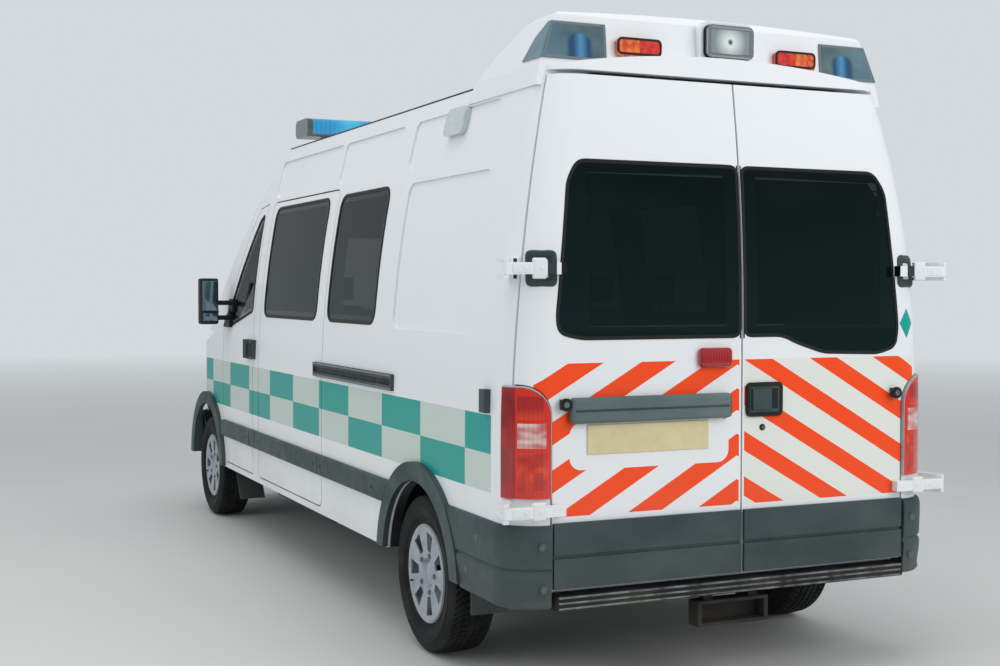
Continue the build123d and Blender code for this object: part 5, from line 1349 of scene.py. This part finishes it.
# Dashboard and steering wheel: soft grained dark grey plastic; the wheel's rim is
# foam-covered, with a plain boss in the middle.
dash_plastic = moulded("dash_plastic", (0.15, 0.16, 0.17), (0.20, 0.21, 0.22), grain=0.0008)
coat("dashboard", dash_plastic)
coat("steering_wheel", black_plastic)
for number, (y, z) in enumerate(((-0.430, 1.125), (0.0, 1.09), (0.62, 1.11))):
    low, high = (1.5520, y - 0.150, z - 0.055), (1.5660, y + 0.150, z + 0.055)
    panel = soft_block(f"dash_panel_{number}", low, high, 0.006, black_plastic, rows=6)
    fasten(panel, "body")

# Grab rails: upright steel tubes fixed between floor and roof, powder coated yellow so that
# they are seen, with worn patches.
rail_yellow = Finish("rail_yellow", (0.93, 0.70, 0.12), 0.4)
rubbed = rail_yellow.noise(20.0, 5.0).ramp(0.55, 0.75, 0.0, 0.7)
rail_yellow.colour(rail_yellow.mix(rubbed, (0.95, 0.72, 0.14), (0.62, 0.50, 0.25)))
rail_yellow.grain(300.0, 0.0002)
coat("grab_rails", rail_yellow)


# Headlamps: a clear moulded cover over a reflector bowl with a painted bright reflection, with an amber
# turn lamp at the outer end, set into the wings.
BOWL_MIDDLE = (0.690, 0.895)
BOWL_HALF = (0.085, 0.080)
TURN_LAMP_Y = 0.815
head_lens = Finish("head_lens", (0.78, 0.81, 0.83), 0.08, Coat_Weight=0.9, Coat_Roughness=0.03)
head_away = abs(head_lens.y)
beside_bowl = (head_away - BOWL_MIDDLE[0]) / BOWL_HALF[0]
bowl = beside_bowl.span((head_lens.z - BOWL_MIDDLE[1]) / BOWL_HALF[1])
# The bowl's brightness is painted reflection: near white at its middle, greying to its rim, with a dark ring
# round it.
bowl_with_painted_glare = head_lens.mix(bowl.ramp(0.25, 0.95, 0.0, 1.0), (0.96, 0.97, 0.97), (0.5, 0.54, 0.57))
bowl_with_painted_glare = head_lens.mix(bowl.between(0.96, 1.06), bowl_with_painted_glare, (0.2, 0.22, 0.24))
bowl_with_painted_glare = head_lens.mix(bowl > 1.06, bowl_with_painted_glare, (0.74, 0.77, 0.79))
head_lens.colour(head_lens.mix(head_away > TURN_LAMP_Y, bowl_with_painted_glare, (0.90, 0.45, 0.10)))
head_lens.bump(head_lens.y.ribs(120.0), 0.0005)
coat("headlamps", head_lens)

# Windscreen rubber and wipers: a black seal with a wide border round the bowed glass, and
# two arms with rubber blades that turn on pivots at its foot and rest low on the glass.
SCREEN_RAKE = math.radians(38.7)
SCREEN_BOW_R = 2.300


def on_screen(flat, side, out):
    """A flat (y, z) point on the windscreen: x falls with height along the rake and with the bow's arc, and
    the distance out runs square to the rake."""
    y, z = flat[..., 0], flat[..., 1]
    bow = SCREEN_BOW_R - np.sqrt(SCREEN_BOW_R ** 2 - y ** 2)
    x = SCREEN_FOOT[0] - (z - SCREEN_FOOT[1]) / math.tan(SCREEN_RAKE) - bow
    away_x, away_z = out * math.sin(SCREEN_RAKE), out * math.cos(SCREEN_RAKE)
    return np.stack([x + away_x, y * np.ones_like(z), z + away_z], axis=-1)


SCREEN_CORNERS = [(0.808, 1.358), (0.715, 2.032), (0.0, 2.046), (-0.715, 2.032), (-0.808, 1.358)]
SCREEN_SEAL = [(-0.036, -0.002), (0.010, -0.004), (0.0105, 0.0015), (0.004, 0.0045), (-0.010, 0.0035),
               (-0.036, 0.0012)]
PIVOT = [(0.0001, 0.0), (0.016, 0.0), (0.016, 0.020), (0.012, 0.027), (0.0001, 0.028)]
WIPERS = {"left": ((0.62, 1.372), (0.12, 1.470)), "right": ((-0.05, 1.366), (-0.60, 1.455))}
ARM_POINTS = 15
screen_path = rounded_path(SCREEN_CORNERS, 0.06)
screen_seal = lipped("windscreen_seal", screen_path, on_screen, 1, SCREEN_SEAL, seal_rubber)
fasten(screen_seal, "body")
off_glass = (math.sin(SCREEN_RAKE), 0, math.cos(SCREEN_RAKE))
for label, (foot, tip) in WIPERS.items():
    t = np.linspace(0, 1, 24)
    flat = np.stack([foot[0] + (tip[0] - foot[0]) * t, foot[1] + (tip[1] - foot[1]) * t], -1)
    blade = tube(label + "_wiper_blade", on_screen(flat, 1, 0.0105), 0.0055, seal_rubber)
    arm_path = on_screen(flat[:ARM_POINTS], 1, 0.022 - 0.006 * t[:ARM_POINTS])
    arm = tube(label + "_wiper_arm", arm_path, 0.0060, black_plastic)
    pivot_foot = on_screen(np.array(foot), 1, np.array(0.002))
    pivot = revolved_about(label + "_wiper_pivot", pivot_foot, off_glass, PIVOT, black_plastic)
    for piece in (blade, arm, pivot):
        fasten(piece, "body")

# Front plate panel: a plain black moulded panel across the bumper's lower opening, where a
# number plate is screwed on. It stays blank.
low, high = (2.9330, -0.262, 0.300), (2.9485, 0.262, 0.412)
front_plate = soft_block("front_plate_panel", low, high, 0.006, black_plastic, rows=6)
fasten(front_plate, "body")
